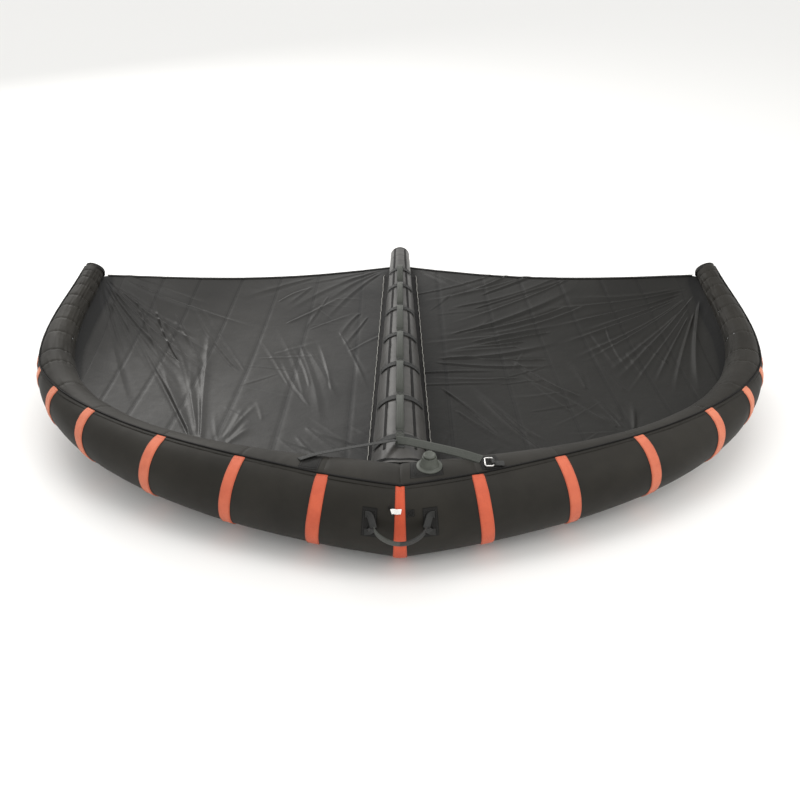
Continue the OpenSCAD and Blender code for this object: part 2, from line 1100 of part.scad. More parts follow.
le_panel_l1();
le_panel_l2();
le_panel_l3();
le_panel_l4();
le_panel_l5();
le_panel_l6();
le_tip_l();
le_panel_r1();
le_panel_r2();
le_panel_r3();
le_panel_r4();
le_panel_r5();
le_panel_r6();
le_tip_r();
seam_band_mid();
seam_band_l1();
seam_band_l2();
seam_band_l3();
seam_band_l4();
seam_band_l5();
seam_band_l6();
seam_band_r1();
seam_band_r2();
seam_band_r3();
seam_band_r4();
seam_band_r5();
seam_band_r6();
tip_bands();
le_piping();
tip_cap_l();
tip_cap_r();
le_bladder();
strut_casing();
strut_bladder();
strut_end_cap();
strut_webbing();
strut_cross_straps();
strut_handle_1();
strut_handle_2();
strut_handle_3();
strut_handle_4();
strut_handle_5();
strut_handle_6();
v_strap_l();
v_strap_r();
v_strap_anchors();
strap_ring();
ring_loop();
valve_base();
valve_cap();
valve_plunger();
canopy_l();
canopy_r();
trailing_hem();
strut_skirts();
front_handle();
front_handle_patches();
tag_loop();
pull_tag();
air_hose();
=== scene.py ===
import math
import bpy
import numpy as np
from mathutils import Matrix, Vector


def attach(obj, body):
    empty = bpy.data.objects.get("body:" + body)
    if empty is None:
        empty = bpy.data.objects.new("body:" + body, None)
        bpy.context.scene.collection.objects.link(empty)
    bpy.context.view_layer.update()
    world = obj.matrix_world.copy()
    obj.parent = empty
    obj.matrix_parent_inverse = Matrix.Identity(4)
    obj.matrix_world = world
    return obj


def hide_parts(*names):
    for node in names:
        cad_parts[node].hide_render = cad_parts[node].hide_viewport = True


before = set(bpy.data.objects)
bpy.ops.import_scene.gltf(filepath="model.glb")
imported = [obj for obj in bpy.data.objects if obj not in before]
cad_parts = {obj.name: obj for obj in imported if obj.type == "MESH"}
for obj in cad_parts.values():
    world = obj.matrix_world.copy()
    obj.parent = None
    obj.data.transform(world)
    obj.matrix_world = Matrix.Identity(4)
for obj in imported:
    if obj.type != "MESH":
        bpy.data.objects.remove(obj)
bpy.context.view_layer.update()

# ---------------------------------------------------------------- the wing's curve, in metres
FRONT_Y, REAR_Y = -0.18248, 1.91669
MID_Y = 0.5 * (REAR_Y + FRONT_Y)
SPAN, SWEEP, PULL = 1.120, 1.160, 1.518
SWEEP_ANGLE = math.radians(9)
R_MID, R_TIP, LIFT, LIFT_POWER, TAPER = 0.125, 0.032, 0.315, 1.106, 2.075
P1 = np.array([PULL * math.cos(SWEEP_ANGLE), PULL * math.sin(SWEEP_ANGLE)])
P2 = np.array([SPAN - 0.035, SWEEP - 0.175])
P3 = np.array([SPAN, SWEEP])
SEAMS = [0, 0.0507, 0.1145, 0.195, 0.295, 0.389, 0.4805]
TIP_SEAMS = [0.4805, 0.532, 0.606, 0.662, 0.72, 0.768, 0.821, 0.865, 0.92, 1]
TAPER_SCALE = (R_MID - R_TIP) / (1 - math.exp(-TAPER / 1.04))
STRUT_START = 0.130
ALL_SEAMS = np.array(SEAMS + TIP_SEAMS[1:-1])
STRUT_L, SR_F, SR_R = 1.900, 0.087, 0.041
SZ_F, SZ_R = 0.122, 0.055
ANCHOR_START, ANCHOR_STEP, ANCHOR_END = 0.237, 0.238, 1.613
ANCHORS = [min(ANCHOR_START + ANCHOR_STEP * i, ANCHOR_END) for i in range(7)]
WEB = 0.025


def smooth(x):
    c = np.clip(x, 0, 1)
    return c * c * (3 - 2 * c)


def bez(t):
    t = np.asarray(t, float)[..., None]
    u = 1 - t
    return 3 * u * u * t * P1 + 3 * u * t * t * P2 + t ** 3 * P3


def slope(t):
    t = np.asarray(t, float)[..., None]
    u = 1 - t
    return 3 * u * u * P1 + 6 * u * t * (P2 - P1) + 3 * t * t * (P3 - P2)


def radius(t):
    t = np.asarray(t, float)
    return R_MID - TAPER_SCALE * (1 - np.exp(-TAPER * t * t / (t + 0.04)))


def speed(t):
    return np.linalg.norm(slope(t), axis=-1)


def axes(t):
    t = np.asarray(t, float)
    d = slope(t)
    turn = np.arctan2(d[..., 1], d[..., 0]) * smooth(t / 0.08)
    thin = TAPER_SCALE * TAPER * t * (t + 0.08) / (t + 0.04) ** 2 * np.exp(-TAPER * t * t / (t + 0.04))
    rise = LIFT_POWER * LIFT * np.maximum(t, 1e-9) ** (LIFT_POWER - 1) * smooth(t / 0.002) - thin
    climb = np.arctan2(rise, speed(t))
    along = np.stack([np.cos(turn) * np.cos(climb), np.sin(turn) * np.cos(climb), np.sin(climb)], -1)
    out = np.stack([np.sin(turn), -np.cos(turn), 0 * turn], -1)
    return along, out, np.cross(out, along)


def centre(t):
    b = bez(t)
    return np.concatenate([b, (radius(t) + LIFT * np.asarray(t, float) ** LIFT_POWER)[..., None]], -1)


def skin(t, a, off=0.0, side=1):
    """Point of the tube's skin at place t and elevation a in degrees, lifted by off."""
    t, a, off = np.broadcast_arrays(np.asarray(t, float), np.radians(a), off)
    along, out, up = axes(t)
    r = radius(t) + off
    ramp = np.maximum(0, (t - 0.86) / 0.14)
    push = (0.013 * (r * np.cos(a) / radius(t) - 1) - 0.020) * ramp
    lean = 0.1 * smooth(t / 0.05) * (1 - smooth((t - 0.08) / 0.14)) - 0.3 * smooth((t - 0.2) / 0.1) * (1
            - smooth((t - 0.42) / 0.15))
    p = centre(t) + r[..., None] * (np.cos(a)[..., None] * out + np.sin(a)[..., None] * up)
    p = p + (push - lean * r * np.sin(a))[..., None] * along
    p = p * np.array([side, 1, 1])
    return p - np.array([0, MID_Y, 0])


def skin_normal(t, a, side=1):
    n = skin(t, a, 0.01, side) - skin(t, a, 0, side)
    return n / np.linalg.norm(n, axis=-1, keepdims=True)


def piping_angle(t):
    t = np.asarray(t, float)
    return 36 + 26 * (1 - smooth(t / 0.5)) + 41 * np.sin(np.pi * np.minimum(1, t / 0.52)) - 24 * smooth((t
            - 0.88) / 0.12) + 7 * np.maximum(0, 1 - t / 0.06) ** 2


def strut_r(y):
    return SR_F - (SR_F - SR_R) * (y - STRUT_START) / (STRUT_L - STRUT_START)


def strut_z(y):
    return SZ_F + (SZ_R - SZ_F) * (y - STRUT_START) / (STRUT_L - STRUT_START)


def strut_pt(y, a, off=0.0):
    y, a, off = np.broadcast_arrays(np.asarray(y, float), np.radians(a), off)
    r = strut_r(y) + off
    return np.stack([r * np.cos(a), y - MID_Y, strut_z(y) + r * np.sin(a)], -1)


def strut_line(y, a, off):
    """Points on the strut's skin lifted by off, and the normals there."""
    p = strut_pt(y, a, off)
    return p, (strut_pt(y, a, off + 0.01) - p) / 0.01


def same(direction, n):
    """One direction held for n points."""
    return np.repeat(np.array([direction], float), n, 0)


# ---------------------------------------------------------------- noise and mesh helpers
def lattice(x, y, seed):
    h = np.sin(x * 127.1 + y * 311.7 + seed * 74.7) * 43758.5453
    return h - np.floor(h)


def noise(x, y, seed=0):
    xi, yi = np.floor(x), np.floor(y)
    fx, fy = smooth(x - xi), smooth(y - yi)
    a, b = lattice(xi, yi, seed), lattice(xi + 1, yi, seed)
    c, d = lattice(xi, yi + 1, seed), lattice(xi + 1, yi + 1, seed)
    return (a + (b - a) * fx) * (1 - fy) + (c + (d - c) * fx) * fy


def ridge(x, y, seed=0, power=3.0):
    return (1 - np.abs(2 * noise(x, y, seed) - 1)) ** power


def mesh_object(name, verts, faces, material, body="wing", uv=None, smooth_it=True):
    me = bpy.data.meshes.new(name)
    me.from_pydata([tuple(v) for v in np.asarray(verts, float)], [],
            [tuple(int(i) for i in f) for f in faces])
    if uv is not None:
        layer = me.uv_layers.new(name="UVMap")
        idx = np.empty(len(me.loops), np.int32)
        me.loops.foreach_get("vertex_index", idx)
        layer.data.foreach_set("uv", np.asarray(uv, np.float32)[idx].ravel())
    if smooth_it:
        me.polygons.foreach_set("use_smooth", [True] * len(me.polygons))
    me.materials.append(material)
    me.update()
    ob = bpy.data.objects.new(name, me)
    bpy.context.scene.collection.objects.link(ob)
    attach(ob, body)
    return ob


def settle(ob, slot, *nodes):
    """Hides the CAD nodes that a piece stands for; the piece and its colour slot are not used."""
    if nodes:
        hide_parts(*nodes)


def grid_faces(n, m, wrap=False, flip=False, base=0):
    i = np.arange(n - 1)[:, None]
    j = np.arange(m if wrap else m - 1)[None, :]
    j2 = (j + 1) % m
    f = np.stack([i * m + j, i * m + j2, (i + 1) * m + j2, (i + 1) * m + j], -1).reshape(-1, 4) + base
    return f[:, ::-1] if flip else f


def grid_object(name, p, material, wrap=False, flip=False, uv=None, body="wing"):
    n, m = p.shape[:2]
    return mesh_object(name, p.reshape(-1, 3), grid_faces(n, m, wrap, flip), material, body,
                       None if uv is None else uv.reshape(-1, 2))


def ribbon(name, pts, normals, width, thick, material, body="wing", crown=0.0, across=None, ends=True):
    """Closed webbing strip along pts. normals point out of its upper face. UV is in metres."""
    pts, normals = np.asarray(pts, float), np.asarray(normals, float)
    n = len(pts)
    tangent = np.gradient(pts, axis=0)
    tangent /= np.linalg.norm(tangent, axis=1, keepdims=True)
    if across is None:
        across = np.cross(tangent, normals)
        across /= np.linalg.norm(across, axis=1, keepdims=True)
    up = np.cross(across, tangent)
    width = np.broadcast_to(width, (n,))
    k = 9
    s = np.linspace(-1, 1, k)
    edge = 1 - 0.55 * np.abs(s) ** 8
    top = np.stack([s, edge * 0.5], 1)
    low = np.stack([s[::-1], -edge[::-1] * 0.5], 1)
    prof = np.concatenate([top, low])
    length = np.concatenate([[0], np.cumsum(np.linalg.norm(np.diff(pts, axis=0), axis=1))])
    v = (pts[:, None] + across[:, None] * (prof[None, :, :1] * width[:, None, None] / 2)
         + up[:, None] * (prof[None, :, 1:] * thick + crown * (1 - prof[None, :, :1] ** 2)))
    uv = np.stack([np.repeat(length[:, None], 2 * k, 1), prof[None, :, 0] * width[:, None] / 2], -1)
    faces = [tuple(f) for f in grid_faces(n, 2 * k, wrap=True)]
    if ends:
        faces += [tuple(range(2 * k)), tuple((n - 1) * 2 * k + j for j in range(2 * k - 1, -1, -1))]
    return mesh_object(name, v.reshape(-1, 3), faces, material, body, uv.reshape(-1, 2))


def cord_mesh(name, pts, r, material, body="wing", sides=10, closed=False):
    pts = np.asarray(pts, float)
    n = len(pts)
    if closed:
        tangent = np.roll(pts, -1, 0) - np.roll(pts, 1, 0)
    else:
        tangent = np.gradient(pts, axis=0)
    tangent /= np.linalg.norm(tangent, axis=1, keepdims=True)
    ref = np.array([0.03, 0.05, 1.0])
    a = np.cross(tangent, ref)
    a /= np.linalg.norm(a, axis=1, keepdims=True)
    b = np.cross(tangent, a)
    ang = np.arange(sides) * 2 * math.pi / sides
    r = np.broadcast_to(r, (n,))
    v = pts[:, None] + r[:, None, None] * (np.cos(ang)[None, :, None] * a[:, None]
            + np.sin(ang)[None, :, None] * b[:, None])
    faces = [tuple(f) for f in grid_faces(n, sides, wrap=True)]
    if closed:
        faces += [((n - 1) * sides + j, (n - 1) * sides + (j + 1) % sides, (j + 1) % sides,
                j) for j in range(sides)]
    else:
        faces += [tuple(range(sides - 1, -1, -1)), tuple((n - 1) * sides + j for j in range(sides))]
    return mesh_object(name, v.reshape(-1, 3), faces, material, body)


def lathe(name, profile, at, material, body="wing", steps=64, bumps=0, bump=0.0):
    prof = np.asarray(profile, float)
    ang = np.arange(steps) * 2 * math.pi / steps
    rad = prof[:, 0][:, None] * (1 + bump * (np.cos(ang * bumps)[None] > 0.2) * (prof[:, 0][:,
            None] > 0.012)) if bumps else prof[:, 0][:, None]
    v = np.stack([rad * np.cos(ang)[None], rad * np.sin(ang)[None],
            np.repeat(prof[:, 1][:, None], steps, 1)], -1)
    v = v + np.asarray(at, float)
    return grid_object(name, v, material, wrap=True, flip=True, body=body)


class Stitches:
    """Gathers many short raised stitches into one mesh."""

    def __init__(self):
        self.v, self.f = [], []

    def run(self, pts, normals, pitch=0.0042, share=0.62, half=0.00045, lift=0.0003):
        pts, normals = np.asarray(pts, float), np.asarray(normals, float)
        seg = np.linalg.norm(np.diff(pts, axis=0), axis=1)
        s = np.concatenate([[0], np.cumsum(seg)])
        count = max(1, int(s[-1] / pitch))
        starts = (np.arange(count) + 0.2) * s[-1] / count
        for s0 in starts:
            ends = []
            for q in (s0, min(s0 + pitch * share, s[-1])):
                ends.append((np.array([np.interp(q, s, pts[:, c]) for c in range(3)]),
                             np.array([np.interp(q, s, normals[:, c]) for c in range(3)])))
            (a, n), (b, _) = ends
            n = n / np.linalg.norm(n)
            d = b - a
            w = np.cross(d, n)
            w = w / (np.linalg.norm(w) + 1e-12) * half
            base = len(self.v)
            lo, hi = n * (lift - 0.0004), n * (lift + half * 1.3)
            for q, tip in ((a, 0.25), (a + 0.5 * d, 1.0), (b, 0.25)):
                self.v += [q - w + lo, q + w + lo, q + w * 0.6 + lo + (hi - lo) * tip, q - w * 0.6 + lo
                        + (hi - lo) * tip]
            for i in (0, 4):
                for j in range(4):
                    k = (j + 1) % 4
                    self.f.append((base + i + j, base + i + 4 + j, base + i + 4 + k, base + i + k))
            self.f += [(base, base + 1, base + 2, base + 3), (base + 11, base + 10, base + 9, base + 8)]

    def done(self, name, material, body="wing"):
        return mesh_object(name, self.v, self.f, material, body, smooth_it=False)


# ---------------------------------------------------------------- materials
def principled(name, color, rough, **more):
    m = bpy.data.materials.new(name)
    m.use_nodes = True
    nt = m.node_tree
    b = nt.nodes["Principled BSDF"]
    b.inputs["Base Color"].default_value = (*color, 1)
    b.inputs["Roughness"].default_value = rough
    for key, value in more.items():
        b.inputs[key.replace("_", " ")].default_value = value
    return m, nt, b


def node(nt, kind, **props):
    n = nt.nodes.new(kind)
    for key, value in props.items():
        if key in n.inputs:
            n.inputs[key].default_value = value
        else:
            setattr(n, key, value)
    return n


def math_node(nt, op, a, b=None, clamp=False):
    n = nt.nodes.new("ShaderNodeMath")
    n.operation = op
    n.use_clamp = clamp
    for i, x in enumerate((a, b)):
        if x is None:
            continue
        if isinstance(x, (int, float)):
            n.inputs[i].default_value = x
        else:
            nt.links.new(x, n.inputs[i])
    return n.outputs[0]


def mul(nt, a, b, clamp=False):
    return math_node(nt, "MULTIPLY", a, b, clamp)


def add(nt, a, b):
    return math_node(nt, "ADD", a, b)


def sub(nt, a, b, clamp=False):
    return math_node(nt, "SUBTRACT", a, b, clamp)


def sine(nt, a):
    return math_node(nt, "SINE", a)


def absolute(nt, a):
    return math_node(nt, "ABSOLUTE", a)


def noise_node(nt, co, scale, detail, **more):
    """Noise over the given coordinates, and its value output."""
    n = node(nt, "ShaderNodeTexNoise", Scale=scale, Detail=detail, **more)
    nt.links.new(co, n.inputs["Vector"])
    return n.outputs[0]


def bump_into(nt, b, height, strength, distance):
    bp = node(nt, "ShaderNodeBump", Strength=strength, Distance=distance)
    nt.links.new(height, bp.inputs["Height"])
    nt.links.new(bp.outputs[0], b.inputs["Normal"])


def rough_range(nt, b, fac, low, high):
    """Roughness between two values, led by the factor."""
    rr = node(nt, "ShaderNodeMapRange")
    nt.links.new(fac, rr.inputs[0])
    rr.inputs[3].default_value = low
    rr.inputs[4].default_value = high
    nt.links.new(rr.outputs[0], b.inputs["Roughness"])


def split(nt, vector):
    s = node(nt, "ShaderNodeSeparateXYZ")
    nt.links.new(vector, s.inputs[0])
    return s.outputs


def ramp_color(nt, fac, stops):
    r = nt.nodes.new("ShaderNodeValToRGB")
    nt.links.new(fac, r.inputs[0])
    el = r.color_ramp.elements
    while len(el) < len(stops):
        el.new(0.5)
    for e, (pos, col) in zip(el, stops):
        e.position = pos
        e.color = (*col, 1)
    return r.outputs[0]


def cloth(name, dark, light, rough, scale=5.0, bump=0.25, weave=900.0, sheen=0.15, fine=0.35, **more):
    """Woven cloth: mottled colour and roughness, a fine over-under weave and slight handling creases."""
    m, nt, b = principled(name, light, rough, **more)
    b.inputs["Sheen Weight"].default_value = sheen
    b.inputs["Sheen Roughness"].default_value = 0.45
    co = node(nt, "ShaderNodeTexCoord").outputs["Object"]
    big = noise_node(nt, co, scale, 5.0, Roughness=0.62)
    nt.links.new(ramp_color(nt, big, [(0.32, dark), (0.68, light)]), b.inputs["Base Color"])
    rough_range(nt, b, big, rough + 0.07, rough - 0.06)
    sx = split(nt, co)
    wx = sine(nt, mul(nt, add(nt, sx[0], sx[2]), weave))
    wy = sine(nt, mul(nt, add(nt, sx[1], sx[2]), weave))
    w = mul(nt, wx, wy)
    cr = noise_node(nt, co, 38.0, 6.0, Roughness=0.7)
    h = add(nt, mul(nt, w, 0.10 * fine), cr)
    bump_into(nt, b, h, bump, 0.0012)
    return m


def webbing(name, dark, light, rough=0.62, rib=0.0021, sheen=0.3):
    """Ribbed flat webbing: chevron ribs along its length, from the strip's own UV in metres."""
    m, nt, b = principled(name, light, rough)
    b.inputs["Sheen Weight"].default_value = sheen
    b.inputs["Sheen Roughness"].default_value = 0.4
    uv = node(nt, "ShaderNodeUVMap").outputs[0]
    s = split(nt, uv)
    tri = math_node(nt, "PINGPONG", s[1], 0.0031)
    slant = add(nt, s[0], mul(nt, tri, 0.9))
    ribs = sine(nt, mul(nt, slant, 2 * math.pi / rib))
    cols = sine(nt, mul(nt, s[1], 2 * math.pi / 0.0031))
    h = add(nt, mul(nt, ribs, 0.5), mul(nt, cols, 0.35))
    n2 = node(nt, "ShaderNodeTexNoise", Scale=60.0, Detail=4.0)
    f = add(nt, mul(nt, h, 0.22), n2.outputs[0])
    nt.links.new(ramp_color(nt, f, [(0.25, dark), (0.8, light)]), b.inputs["Base Color"])
    bump_into(nt, b, h, 0.6, 0.0005)
    return m


def band_cloth(name, dark, light, rough=0.6, sheen=0.35):
    """Coarse woven reinforcing tape with a selvedge, from UV in metres."""
    m, nt, b = principled(name, light, rough)
    b.inputs["Sheen Weight"].default_value = sheen
    b.inputs["Sheen Roughness"].default_value = 0.35
    b.inputs["Sheen Tint"].default_value = (1.0, 0.72, 0.58, 1)
    uv = node(nt, "ShaderNodeUVMap").outputs[0]
    s = split(nt, uv)
    wx = sine(nt, mul(nt, s[0], 2 * math.pi / 0.0018))
    wy = sine(nt, mul(nt, s[1], 2 * math.pi / 0.0018))
    w = mul(nt, wx, wy)
    edge = absolute(nt, s[1])
    edge = sub(nt, edge, 0.0125)
    edge = mul(nt, edge, 260.0, clamp=True)
    co = node(nt, "ShaderNodeTexCoord").outputs["Object"]
    big = noise_node(nt, co, 14.0, 6.0, Roughness=0.7)
    f = add(nt, big, mul(nt, w, 0.10))
    f = sub(nt, f, mul(nt, edge, 0.22))
    nt.links.new(ramp_color(nt, f, [(0.15, dark), (0.62, light)]), b.inputs["Base Color"])
    bump_into(nt, b, w, 0.5, 0.0004)
    return m


def ripstop(name, dark, light, rough, shine):
    """Thin coated canopy cloth: ripstop grid, fine crinkle, sewn panel seams at whole values of UV x.

    UV y is the distance from the tube's inner edge in metres; near the tips it places a painted shadow, cloth
    going black for the shade in the pocket under the tube.
    """
    m, nt, b = principled(name, light, rough)
    b.inputs["Specular IOR Level"].default_value = shine
    b.inputs["Sheen Weight"].default_value = 0.05
    uv = node(nt, "ShaderNodeUVMap").outputs[0]
    s = split(nt, uv)
    fr = math_node(nt, "FRACT", add(nt, s[0], 0.5))
    d = absolute(nt, sub(nt, fr, 0.5))
    tape = sub(nt, 1.0, mul(nt, d, 26.0), clamp=True)
    tape_flat = mul(nt, tape, 3.0, clamp=True)
    line = sub(nt, 1.0, mul(nt, absolute(nt, sub(nt, d, 0.024)), 170.0), clamp=True)
    co = node(nt, "ShaderNodeTexCoord").outputs["Object"]
    sx = split(nt, co)
    gx = math_node(nt, "PINGPONG", sx[0], 0.003)
    gy = math_node(nt, "PINGPONG", sx[1], 0.003)
    g = math_node(nt, "MINIMUM", gx, gy)
    g = sub(nt, 1.0, mul(nt, g, 2200.0), clamp=True)
    big = noise_node(nt, co, 3.2, 6.0, Roughness=0.6)
    f = sub(nt, big, mul(nt, tape_flat, 0.10))
    f = sub(nt, f, mul(nt, line, 0.75))
    # Painted shadow: near the tips the cloth next to the tube goes black through the ramp's first stop,
    # standing in for the shade under the tube.
    pocket_shadow = mul(nt, sub(nt, 0.050, s[1]), 30.0, clamp=True)
    outer = mul(nt, sub(nt, absolute(nt, sx[0]), 0.84), 8.0, clamp=True)
    f = sub(nt, f, mul(nt, mul(nt, pocket_shadow, outer), 1.2))
    # Painted shade: the cloth darkens towards the strut.
    near = mul(nt, sub(nt, 0.50, absolute(nt, sx[0])), 0.8, clamp=True)
    f = sub(nt, f, near)
    nt.links.new(ramp_color(nt, f, [(0.0, (0.0012, 0.0012, 0.001)), (0.15, dark), (0.62, light)]),
            b.inputs["Base Color"])
    rough_range(nt, b, big, rough + 0.08, rough - 0.07)
    crinkle = noise_node(nt, co, 22.0, 5.0, Roughness=0.55, Distortion=0.3)
    h = add(nt, mul(nt, crinkle, 1.0), mul(nt, tape_flat, 0.16))
    h = sub(nt, h, mul(nt, line, 0.12))
    h = add(nt, h, mul(nt, g, 0.03))
    bump_into(nt, b, h, 0.35, 0.004)
    return m


def plastic(name, dark, light, rough, grain=700.0, bump=0.15, **more):
    m, nt, b = principled(name, light, rough, **more)
    co = node(nt, "ShaderNodeTexCoord").outputs["Object"]
    fine = noise_node(nt, co, grain, 3.0)
    patchy = noise_node(nt, co, 40.0, 5.0)
    nt.links.new(ramp_color(nt, patchy, [(0.3, dark), (0.7, light)]), b.inputs["Base Color"])
    bump_into(nt, b, fine, bump, 0.0003)
    return m


M_TUBE = cloth("tube_cloth_a", (0.0105, 0.0092, 0.0068), (0.0175, 0.0155, 0.0118), 0.58, sheen=0.02,
        **{"Specular_IOR_Level": 0.20})
M_TUBE_B = cloth("tube_cloth_b", (0.0125, 0.0112, 0.0088), (0.0205, 0.0185, 0.0148), 0.62, sheen=0.03,
        **{"Specular_IOR_Level": 0.20})
M_TAPE = cloth("black_tape", (0.0035, 0.0033, 0.0032), (0.007, 0.0066, 0.0062), 0.65, sheen=0.02,
        **{"Specular_IOR_Level": 0.15})
M_DARK = cloth("reinforcement", (0.005, 0.0047, 0.0042), (0.010, 0.0095, 0.0085), 0.65, scale=20.0,
        sheen=0.04, **{"Specular_IOR_Level": 0.2})
M_STRUT = cloth("strut_cloth", (0.016, 0.0145, 0.012), (0.030, 0.0275, 0.0235), 0.44, sheen=0.06,
        **{"Specular_IOR_Level": 0.45})
M_WEB = webbing("grip_webbing", (0.018, 0.020, 0.015), (0.046, 0.052, 0.041), sheen=0.08)
M_WEB_DARK = webbing("dark_webbing", (0.003, 0.003, 0.0026), (0.0085, 0.009, 0.0072), sheen=0.03)
M_THREAD = plastic("thread_black", (0.008, 0.008, 0.007), (0.016, 0.015, 0.014), 0.6)
M_THREAD_OR = plastic("thread_orange", (0.34, 0.08, 0.035), (0.46, 0.13, 0.06), 0.6)
# The canopy halves are one black cloth drawn as a lighter, glossier copy and a darker copy: painted light on
# the left half, painted shade on the right.
M_CANOPY_PAINTED_LIT_L = ripstop("canopy_cloth_left_painted_lit", (0.010, 0.0095, 0.0085), (0.026, 0.0250, 0.0230), 0.44, 0.30)
M_CANOPY_PAINTED_SHADE_R = ripstop("canopy_cloth_right_painted_shade", (0.0065, 0.0062, 0.0052), (0.0105, 0.0100, 0.0085), 0.48, 0.16)
# Pale grey for the seam line beside the strut: a painted highlight.
M_HIGHLIGHT_LINE = cloth("painted_highlight_line", (0.22, 0.21, 0.19), (0.36, 0.35, 0.32), 0.5, scale=60.0)
M_VALVE = plastic("valve_plastic", (0.034, 0.038, 0.030), (0.060, 0.066, 0.053), 0.5)
M_RUBBER = plastic("valve_rubber", (0.015, 0.015, 0.015), (0.03, 0.03, 0.03), 0.6)
M_METAL = plastic("ring_metal", (0.60, 0.59, 0.57), (0.78, 0.77, 0.75), 0.28, grain=240.0, Metallic=1.0)
M_TAG = cloth("white_tag", (0.70, 0.69, 0.66), (0.86, 0.85, 0.83), 0.6, scale=60.0)
M_FILM = plastic("bladder_film", (0.62, 0.66, 0.68), (0.78, 0.80, 0.82), 0.3)
# The tapes run from deep orange at the middle to paler towards the tips: the paling is painted sheen on one
# orange tape.
ORANGE_TAPES_SHEEN_PAINTED = []
for k in range(8):
    g = k / 7
    ORANGE_TAPES_SHEEN_PAINTED.append(band_cloth("orange_tape_%d" % k,
                              tuple(np.array([0.40, 0.038, 0.008]) * (1 - g)
                              + np.array([0.52, 0.16, 0.085]) * g),
                              tuple(np.array([0.56, 0.070, 0.018]) * (1 - g)
                              + np.array([0.66, 0.26, 0.15]) * g),
                              sheen=0.10 + 0.2 * g))

stitch_black = Stitches()
stitch_orange = Stitches()


# ---------------------------------------------------------------- leading-edge tube
def tube_relief(t, a, side):
    """Height of seams, puckers and soft creases on the tube's skin, in metres."""
    t, a = np.broadcast_arrays(t, a)
    v = speed(t)
    h = np.zeros(t.shape)
    seed = 5 if side > 0 else 31
    inner = 0.5 - 0.5 * np.cos(np.radians(a - 20))
    for k, ts in enumerate(ALL_SEAMS):
        s = (t - ts) * v
        near = np.exp(-np.abs(s) / 0.030)
        pucker = noise(a / 7.5 + 0 * t, s / 0.05 + k * 7, seed + k) - 0.5
        h -= 0.0016 * np.exp(-(s / 0.005) ** 2)
        h += near * pucker * (0.0018 + 0.0034 * inner * smooth((t - 0.12) / 0.3))
    da = (a - piping_angle(t) + 180) % 360 - 180
    arc = np.radians(da) * radius(t)
    h -= 0.0012 * np.exp(-(arc / 0.004) ** 2)
    h += np.exp(-np.abs(arc) / 0.02) * (noise(t * v.mean() / 0.016, 0 * t + 3, seed + 60) - 0.5) * 0.0013
    arc2 = np.radians((a - 246 + 180) % 360 - 180) * radius(t)
    h += np.exp(-np.abs(arc2) / 0.03) * (noise(t * v.mean() / 0.022, 0 * t + 8, seed + 61) - 0.5) * 0.0024
    h += (noise(t * 26, a / 34, seed + 70) - 0.5) * 0.0016
    h += (ridge(t * 60 + a / 60, a / 55, seed + 71, 4) - 0.2) * 0.0007 * inner
    end = smooth((t - 0.955) / 0.045)
    h -= end * 0.0022 * (0.5 + 0.5 * np.cos(np.radians(a * 14)))
    return h


ANG = np.linspace(-90, 270, 193)[:-1]


def tube_panel(name, t0, t1, side, material, *nodes):
    length = float(np.mean(speed(np.linspace(t0, t1, 9)))) * (t1 - t0)
    n = max(8, int(length / 0.0042))
    t = np.linspace(t0, t1, n)
    tt, aa = np.meshgrid(t, ANG, indexing="ij")
    p = skin(tt, aa, tube_relief(tt, aa, side), side)
    uv = np.stack([tt * 2.0, np.radians(aa) * 0.12], -1)
    ob = grid_object(name, p, material, wrap=True, flip=side < 0, uv=uv)
    settle(ob, "tube_cloth", *nodes)
    return ob


for side, tag in ((-1, "l"), (1, "r")):
    for k in range(6):
        tube_panel("tube_panel_%s%d" % (tag, k + 1), SEAMS[k], SEAMS[k + 1], side,
                   M_TUBE if k % 2 == 0 else M_TUBE_B, "le_panel_%s%d" % (tag, k + 1))
    for k in range(len(TIP_SEAMS) - 1):
        extra = ("le_tip_" + tag,) if k == 0 else ()
        t0, t1 = TIP_SEAMS[k], TIP_SEAMS[k + 1]
        n = max(8, int(float(speed(np.array([t0]))[0]) * (t1 - t0) / 0.0036))
        tt, aa = np.meshgrid(np.linspace(t0, t1, n), ANG, indexing="ij")
        p = skin(tt, aa, tube_relief(tt, aa, side), side)
        uv = np.stack([tt * 2.0, np.radians(aa) * 0.12], -1)
        ob = grid_object("tube_tip_%s%d" % (tag, k + 1), p, M_TUBE_B if k % 2 == 0 else M_TUBE, wrap=True,
                flip=side < 0, uv=uv)
        settle(ob, "tube_cloth", *extra)

# ---------------------------------------------------------------- bands over the cross seams
BAND_W = 0.033


